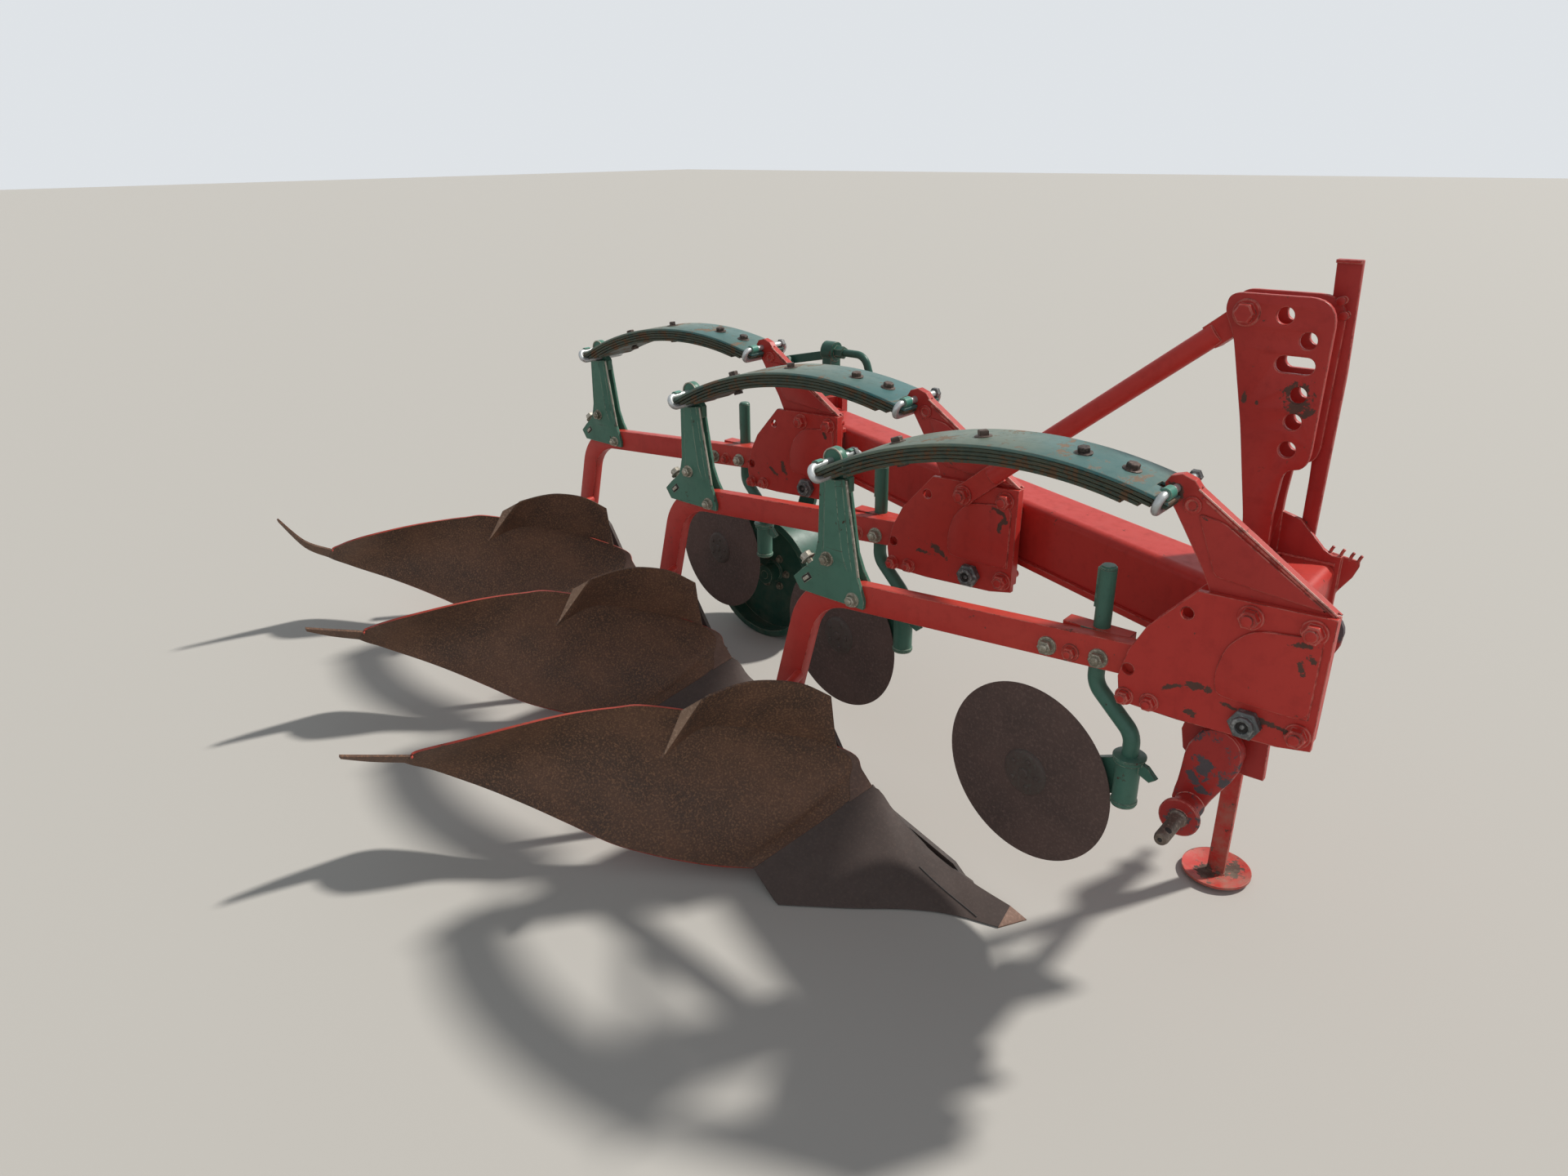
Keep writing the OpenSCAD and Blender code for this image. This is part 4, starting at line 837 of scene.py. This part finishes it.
ahead_cut, behind_cut = FRONT_END - radians(2.7), radians(3.3) - REAR_END
for k, name in enumerate(BODIES):
    parts = []
    for n, (share, opening, finish) in enumerate(LEAVES):
        r = LEAF_R - n * LEAF_STEP
        front, rear = FRONT_END * share, -REAR_END * share
        y0, y1 = SPRING_Y - LEAF_HALF + n * 0.8, SPRING_Y + LEAF_HALF - n * 0.8
        lengths = [(max(rear, behind_cut), min(front, ahead_cut), y0, y1, 56)]
        if front > ahead_cut:
            lengths += [(ahead_cut, front, a, b, 6) for a, b in ((y0, NOSE[0] - 2), (NOSE[1] + 2, y1))]
        if rear < behind_cut:
            lengths += [(rear, behind_cut, a, b, 6) for a, b in ((y0, EAR[0] - 2), (EAR[1] + 2, y1))]
        parts += [leaf_strip(r, *length, a, b, k, finish, count, opening) for *length, a, b, count in lengths]
    for degrees, sides in CLIPS:
        angle = radians(degrees)
        out = square_out(angle, k)
        foot = on_arc(angle, LEAF_R, SPRING_Y, k)
        parts.append(turned([(18, 0), (18, 1.6), (16.5, 2.4)], 24, foot, out, 2))
        parts.append(turned([(12.6, 2), (13, 3), (13, 11), (11.5, 13)], sides, foot, out, 2))
        parts.append(turned([(8, 0), (8, 50)], 16, on_arc(angle, LEAF_R - 50, SPRING_Y, k), out, 2))
        parts.append(turned([(13, 0), (13, 8)], 6, on_arc(angle, LEAF_R - 51, SPRING_Y, k), out, 2))
    assemble(f"leaf_stack_{name}", parts, [leaf_paints[k], leaf_dark, clip_rust], [f"leaf_spring_{name}"])

# Shackles
# Silver round-bar bows loop round the two upper leaves near each end of a spring. The ends of
# the leaves are bent over the bar in short collars, and a nut closes each bow on the far side.
bow_steel = weathered_steel("silver_bow_steel", (0.34, 0.36, 0.36), (0.58, 0.60, 0.60), (0.74, 0.75, 0.74),
                            0.6, speckled=0.35, base_rough=0.48)
BOW_D, BOW_PLAY = 16, 0.3
BOW_TOP = LEAF_R + BOW_D / 2 + BOW_PLAY
BOW_LOW = LEAF_R - LEAF_STEP - LEAF_T - BOW_D / 2 - BOW_PLAY
BOW_INSET = radians(0.78)
BOWS = [
    # angle ahead of the apex, and the Y at both sides of each collar
    (FRONT_END - BOW_INSET, ((-40, -14), (38, 62))), (BOW_INSET - REAR_END, ((-38, -16), (44, 56), (82, 94)))]
COLLAR = [(0.0123, range(-5, 9)), (0.0083, range(8, -6, -1))]
bows = []
for k, (angle, collars) in [(k, bow) for k, _ in enumerate(BODIES) for bow in BOWS]:
    half, middle = (BOW_TOP - BOW_LOW) / 2, (BOW_TOP + BOW_LOW) / 2
    loop = []
    for side_y, first in ((LEAF_HALF, -pi / 2), (-LEAF_HALF, pi / 2)):
        for t in [first + pi * n / 16 for n in range(17)]:
            loop.append(on_arc(angle, middle + half * sin(t), SPRING_Y + side_y + half * cos(t), k))
    bows.append(bent_bar([*loop, loop[0]], BOW_D - 0.4, 18))
    out = square_out(angle, k)
    up = out.normalized()
    inward = Vector((0, 1, 0)).cross(up) * (1 if angle > 0 else -1)
    for y0, y1 in collars:
        centre = on_arc(angle, BOW_TOP, y0, k)
        ring = [centre + (inward * cos(n * pi / 9) + up * sin(n * pi / 9)) * r
                for r, steps in COLLAR for n in steps]
        width = len(ring)
        shell = [(n, (n + 1) % width, (n + 1) % width + width, n + width) for n in range(width)]
        caps = [(n, n + 1, width - 2 - n, width - 1 - n) for n in range(width // 2 - 1)]
        caps += [tuple(width + n for n in cap[::-1]) for cap in caps]
        bows.append((ring + [p + Vector((0, (y1 - y0) / 1000, 0)) for p in ring], shell + caps, 1))
    far = on_arc(angle, BOW_TOP, SPRING_Y + LEAF_HALF - 9, k)
    bows.append(turned([(12.5, 0), (13.5, 1), (13.5, 12), (12, 14)], 6, far, (0, 1, 0), 2))
collar_green = old_paint("green_collar_paint", (0.045, 0.21, 0.16), (0.13, 0.36, 0.29), (0.16, 0.095, 0.060),
                         GREEN_EDGE_HIGHLIGHT, chipped=0.9)
assemble("spring_bows", bows, [bow_steel, collar_green, grease_steel], ["shackles"])

# Disc coulters
# A cranked stem in a clamp block on each leg carries a swivelling arm with a plain steel disc.
# The disc is dished a little by its grinding and has a riveted hub plate.
STEM_GREEN = (0.052, 0.140, 0.103)
stem_green = old_paint("green_stem_paint", STEM_GREEN, (0.10, 0.25, 0.19), (0.05, 0.032, 0.024), GREEN_EDGE_HIGHLIGHT,
                       chipped=0.6, scratched=0.6)
coat(stem_green, *each("coulter_stem"), *each("coulter_arm"))
disc_rust = weathered_steel("disc_rust", (0.070, 0.043, 0.037), (0.108, 0.064, 0.054), (0.165, 0.104, 0.088),
                            speckled=0.7, base_rough=0.56)
hub_rust = weathered_steel("disc_hub_rust", (0.060, 0.041, 0.035), (0.094, 0.062, 0.052),
                           (0.090, 0.105, 0.085), speckled=0.45)
TOE = radians(8)
HUB = (-214 - 238 * cos(TOE), 42 + 238 * sin(TOE), 362)
DISC_R = 211
DISC_AXIS = (-sin(TOE), -cos(TOE), 0)
HUB_BORE = 12.6
disc_half = [(54, 2.5), (150, 2.5), (DISC_R - 14, 2.4), (DISC_R, 0.5)]
blade = [(r, -h) for r, h in disc_half] + disc_half[::-1]
hub_face = [(HUB_BORE, 2.4), (HUB_BORE, 10.5), (17, 10.8), (44, 9.8), (50, 8.4), (53, 6.2), (55, 2.4)]
hub_back = [(HUB_BORE, -2.4), (HUB_BORE, -14.2), (44, -14.2), (50, -12), (50, -2.4)]
disc_spin = Vector(DISC_AXIS).to_track_quat("Z", "Y").to_matrix()
for k, name in enumerate(BODIES):
    middle = at(*HUB, k)
    parts = [turned_ring(blade, 96, middle, DISC_AXIS)]
    parts += [turned_ring(profile, 48, middle, DISC_AXIS, 1) for profile in (hub_face, hub_back)]
    parts.append(turned([(12.4, 6), (12.4, 11.5), (9, 14)], 20, middle, DISC_AXIS, 1))
    for rivet in around(5, 34, disc_spin, 9.8):
        parts.append(turned([(5.5, 0), (5.5, 2), (3.5, 4)], 14, middle + rivet, DISC_AXIS, 1))
    assemble(f"disc_blade_{name}", parts, [disc_rust, hub_rust], [f"coulter_disc_{name}"],
             f"coulter_disc_{name}")
    parts = [turned([(16.6, -2), (16.6, 3), (13, 7)], 28, at(-314, 68, 885, k), (0, 0, 1))]
    parts.append(straight_block((-334, 63, 800), (-330, 73, 884), k))
    parts.append(straight_block((-387, 46.2, 693), (-249, 84, 761), k, 1))
    assemble(f"stem_cap_{name}", parts, [stem_green, leg_red])
    parts = [turned([(25.2, 0), (27, 2), (27, 8), (25.2, 10)], 40, at(-214, 42, 402, k), (0, 0, 1)),
             turned([(31, 0), (33.5, 2), (33.5, 6), (30, 8)], 40, at(-214, 42, 508, k), (0, 0, 1))]
    assemble(f"swivel_collars_{name}", parts, [stem_green],
             rides_on=f"coulter_arm_{name}")

# Mouldboards
# One curved sheet for each body, hardened on the front face and rusted to an even brown with
# fine speckle. The back and the rim keep their red paint. The shin, in front, is smoother.
board_rust = weathered_steel("board_rust", (0.060, 0.031, 0.019), (0.125, 0.060, 0.034), (0.27, 0.135, 0.070),
                             grain=(0.55, 1.6, 1.6), base_rough=0.56, speckled=0.95, fine=190)
shin_rust = weathered_steel("shin_rust", (0.090, 0.050, 0.036), (0.155, 0.082, 0.056), (0.23, 0.128, 0.085),
                            speckled=0.5)
back_red = old_paint("red_board_back", (0.40, 0.036, 0.024), (0.46, 0.08, 0.055), (0.09, 0.045, 0.03),
                     (0.52, 0.11, 0.07), chipped=1.0, scratched=0.8)
BOARD_T = 6
board_rows = [
    # lower edge x y z, upper edge x y z, hollow of the section in y and in z
    (-968, -263, 45, -831, 30, 185, 0, 0), (-999, -284, 45.5, -863, 29, 222, 13, -15),
    (-1030, -305, 46, -896, 28, 257, 26, -30), (-1093, -345, 50, -1001, -60, 312, 44, -42),
    (-1172, -395, 62, -1120, -165, 360, 56, -40), (-1262, -450, 85, -1258, -306, 404, 60, -30),
    (-1360, -490, 115, -1322, -360, 399, 52, -20), (-1470, -527, 140, -1400, -432, 386, 42, -12),
    (-1590, -565, 160, -1460, -520, 375, 32, -6), (-1690, -608, 181, -1540, -625, 352, 22, 0),
    (-1728, -640, 201, -1610, -672, 325, 10, 0), (-1738, -672, 222, -1670, -692, 297, 2, 0),
    (-1741, -694, 240, -1679, -708, 288, 0, 0)]
tail_rows = [(-1752, -770, 275, -1712, -785, 312, 0, 0), (-1752, -842, 318, -1736, -852, 335, 0, 0)]
TAIL_LIFT = [
    # how far the root and the tip of each body's tail stand up
    (0, 0), (0, 0), (26, 105)]
TOWARD_BACK = Vector((-0.45, 0.72, -0.3)).normalized()


def raised(row, lift):
    """A row of the tail set higher, leaning a little as it rises."""
    x0, y0, z0, x1, y1, z1 = row[:6]
    ahead_by, out_by = lift * 0.15, lift * 0.1
    return (x0 + ahead_by, y0 - out_by, z0 + lift, x1 + ahead_by, y1 - out_by, z1 + lift, 0, 0)


def on_sheet(rows, u, v, body):
    """Place on a curved sheet, u rows along it and v up its section, smooth through every row."""
    i = min(int(u), len(rows) - 2)
    t = u - i
    near = rows[max(i - 1, 0)], rows[i], rows[i + 1], rows[min(i + 2, len(rows) - 1)]
    r = [b + 0.5 * t * (c - a + t * (2 * a - 5 * b + 4 * c - d + t * (3 * b - a - 3 * c + d)))
         for a, b, c, d in zip(*near)]
    hump = 4 * v * (1 - v)
    return at(r[0] + (r[3] - r[0]) * v, r[1] + (r[4] - r[1]) * v + hump * r[6],
              r[2] + (r[5] - r[2]) * v + hump * r[7], body)


def backward(grid, thickness):
    """How far each point of a sheet's front face lies from its back, square to the sheet."""
    offsets = []
    for i, row in enumerate(grid):
        for j, _ in enumerate(row):
            along = grid[min(i + 1, len(grid) - 1)][j] - grid[max(i - 1, 0)][j]
            up = row[min(j + 1, len(row) - 1)] - row[max(j - 1, 0)]
            square = along.cross(up).normalized()
            offsets.append(square * (thickness / 1000) * (1 if square.dot(TOWARD_BACK) > 0 else -1))
    return offsets


SHIN = [
    # rows along and share up of its lower, upper and rear corner
    Vector((0.0, 0.80)), Vector((0.0, 1.0)), Vector((2.3, 1.0))]
SHIN_T, SHIN_ALONG, SHIN_UP = 1.6, 12, 6


def sheet_grid(rows, fine, high, body):
    """Points all over a sheet, so many between two rows and so many up its section."""
    return [[on_sheet(rows, n / fine, j / high, body) for j in range(high + 1)]
            for n in range(fine * (len(rows) - 1) + 1)]


for k, name in enumerate(BODIES):
    grid = sheet_grid(board_rows, 6, 20, k)
    thick = backward(grid, BOARD_T)
    parts = closed_sheet(grid, thick, 0, 1)
    through = thick[-len(grid[-1]):]
    rear_rim = [[p + t * depth for p, t in zip(grid[-1], through)] for depth in (-0.06, 1.06)]
    parts += closed_sheet(rear_rim, Vector((-0.0012, 0, 0)), 0)
    tail = board_rows[-1:] + [raised(row, lift) for row, lift in zip(tail_rows, TAIL_LIFT[k])]
    grid = sheet_grid(tail, 6, 8, k)
    parts += closed_sheet(grid, backward(grid, BOARD_T), 0, 0)
    shin_grid = []
    for t in [i / SHIN_ALONG for i in range(SHIN_ALONG + 1)]:
        low, high = SHIN[0].lerp(SHIN[2], t), SHIN[1].lerp(SHIN[2], t)
        if t == 1:
            low, high = low - Vector((0, 0.01)), high - Vector((0.02, 0))
        shin_grid.append([on_sheet(board_rows, *low.lerp(high, j / SHIN_UP), k) for j in range(SHIN_UP + 1)])
    lift = [-p for p in backward(shin_grid, SHIN_T)]
    shin_front = [[p + lift[i * len(row) + j] for j, p in enumerate(row)] for i, row in enumerate(shin_grid)]
    parts += closed_sheet(shin_front, [-p for p in lift], 2)
    assemble(f"board_{name}", parts, [board_rust, back_red, shin_rust], [f"mouldboard_{name}"],
             crease=40)

# Shares
# The blade ahead of each mouldboard, smoother and darker than it. A groove marks off its bar
# point. The tip is cut off square and its end is bare. The sole lies just clear of the floor.
share_rust = weathered_steel("share_rust", (0.050, 0.034, 0.029), (0.068, 0.046, 0.039),
                             (0.098, 0.067, 0.055), speckled=0.45, base_rough=0.60)
cut_end_rust = weathered_steel("share_cut_rust", (0.16, 0.085, 0.058), (0.28, 0.155, 0.105),
                               (0.40, 0.24, 0.17), speckled=0.5)
SHARE_T = 10
EDGE_RISE, SOLE_RISE = 0.0034, 0.0004
CUT_END = [(-433, -26, 3.4), (-438, 36, 22), (-396, 40, 2.2)]
CUT_FACES = [(0, 1, 2), (3, 5, 4), (0, 3, 4, 1), (1, 4, 5, 2), (2, 5, 3, 0)]
share_rows = [
    # the same columns as for the mouldboards
    (-433, -26, 3.4, -438, 36, 22, 0, 0), (-468, -36, 3.4, -537, 36, 37, 0, 0),
    (-511, -48, 3.4, -638, 34, 66, 0, -2),
    (-580, -78, 3.4, -747, 32, 123, 0, -3), (-650, -125, 3.4, -830.6, 30, 185, 2, -4),
    (-717, -179, 3.4, -875.8, -66.7, 138.8, 3, -4), (-790, -232, 3.4, -922.4, -166.3, 91.2, 2, -3),
    (-869, -288, 3.4, -967.6, -263, 45, 0, 0)]
for k, name in enumerate(BODIES):
    grid = sheet_grid(share_rows, 5, 12, k)
    points = [p for row in grid for p in row]
    for p in points:
        p.z = max(p.z, EDGE_RISE)
    thick = backward(grid, SHARE_T)
    for p, through in zip(points, thick):
        through.z = max(through.z, SOLE_RISE - p.z)
    parts = closed_sheet(grid, thick, 0)
    cut = [at(*p, k) for p in (*CUT_END, *[(x, y, 0.5) for x, y, _ in CUT_END])]
    parts.append((cut, CUT_FACES, 1))
    # The groove is a near-black bar: painted shade.
    groove = [on_sheet(share_rows, 1.25 + 1.6 * t, 0.10 + 0.42 * t, k) - TOWARD_BACK * 0.0004
              for t in [n / 10 for n in range(11)]]
    parts.append(bent_bar(groove, 3.2, 8, finish=2))
    assemble(f"share_blade_{name}", parts, [share_rust, cut_end_rust, hole_shade], [f"share_{name}"],
             crease=40)

# Trashboards
# A curved plate above the front of each mouldboard turns straw under. It hangs on a round stay
# from the leg, and its rear corner is folded over and painted lighter: painted highlight.
trash_rows = [
    # the same columns again
    (-911, -14, 285, -925, -20, 430, 0, 0), (-950, -35, 305, -955, -90, 480, 0, 0),
    (-1000, -80, 322, -1000, -160, 502, 0, 0), (-1060, -150, 350, -1043, -212, 500, 0, 0),
    (-1120, -260, 380, -1072, -280, 490, 0, 0), (-1102, -411, 374, -1086, -292, 484, 0, 0)]
TRASH_SHIFT = Vector((0.012, -0.014, 0.006))
TRASH_T, FOLD_T, FOLD_ALONG, FOLD_UP = 6, 4, 10, 6
FOLD = [(-1090, -426, 379), (-1100, -348, 468), (-1074, -306, 490)]
STAY = [(-1052, 14, 430), (-1030, -70, 427.5), (-1008, -146, 425)]
# Lighter rust on the folded corner: painted highlight.
fold_painted_highlight = weathered_steel("folded_corner_painted_highlight", (0.14, 0.082, 0.052), (0.27, 0.165, 0.105),
                            (0.42, 0.28, 0.19))
trash_parts = []
for k, _ in enumerate(BODIES):
    grid = [[p + TRASH_SHIFT for p in row] for row in sheet_grid(trash_rows, 6, 10, k)]
    trash_parts += closed_sheet(grid, backward(grid, TRASH_T), 0)
    tip, corner, crease = (at(*p, k) for p in FOLD)
    flap = [[tip.lerp(corner, t).lerp(tip.lerp(crease, t), j / FOLD_UP) for j in range(FOLD_UP + 1)]
            for t in [n / FOLD_ALONG for n in range(1, FOLD_ALONG + 1)]]
    trash_parts += closed_sheet(flap, backward(flap, FOLD_T), 2)
    trash_parts.append(bent_bar([at(*p, k) for p in STAY], 26, 20, finish=1))
assemble("trash_plates", trash_parts, [board_rust, leg_red, fold_painted_highlight], ["trashboards"],
         crease=40)

# Frogs and landsides
# The castings and bars behind each share and mouldboard that tie them to the leg, as packed.
# Their colour is set darker than the plates in front: painted shade.
frog_rust_painted_shade = weathered_steel("frog_rust_painted_shade", (0.030, 0.020, 0.016), (0.050, 0.032, 0.025), (0.085, 0.052, 0.038),
                            speckled=0.6)
coat(frog_rust_painted_shade, "frogs")

# Depth wheel
# A pressed steel wheel with rolled rims and a dished web, on an arm from the rear of the beam.
# The arm is set by a screw with a bent handle that turns in a round clamp.
wheel_green = old_paint("green_wheel_paint", (0.022, 0.085, 0.062), (0.055, 0.15, 0.115), (0.05, 0.03, 0.02),
                        GREEN_EDGE_HIGHLIGHT, chipped=0.6)
coat(wheel_green, "wheel_arm", "wheel_screw")
WHEEL_X, WHEEL_Y, WHEEL_Z = -1880, 880, 230
WHEEL_BOLT_RING = 60
RIM_HALF = [
    # radius, distance from the middle, from the inner edge of the rolled rim to the bed of the tyre
    (207, 71), (207, 74.5), (224, 74.5), (229.5, 72), (229.5, 67), (222.5, 63)]
rim = [(r, -y) for r, y in RIM_HALF[1:]] + RIM_HALF[::-1]
rim += [(216, 68), (217, 60), (217, 6), (206, 5.5), (150, -2), (90, 4), (40, 7), (34, 11), (34, 69.5),
        (15.4, 69.5),
        (15.4, -54.5), (34, -54.5), (34, -9), (40, -3), (90, -4), (150, -8), (206, -4), (217, -5), (217, -60),
        (216, -68), (207, -71)]
wheel_parts = [turned_ring(rim, 72, at(WHEEL_X, WHEEL_Y, WHEEL_Z), (0, 1, 0))]
for t in [n * pi / 3 for n in range(6)]:
    foot = at(WHEEL_X + WHEEL_BOLT_RING * cos(t), WHEEL_Y - 4, WHEEL_Z + WHEEL_BOLT_RING * sin(t))
    wheel_parts += bolt(foot, 19, finish=1)
assemble("wheel_rim", wheel_parts, [wheel_green, zinc], ["depth_wheel"], "depth_wheel")
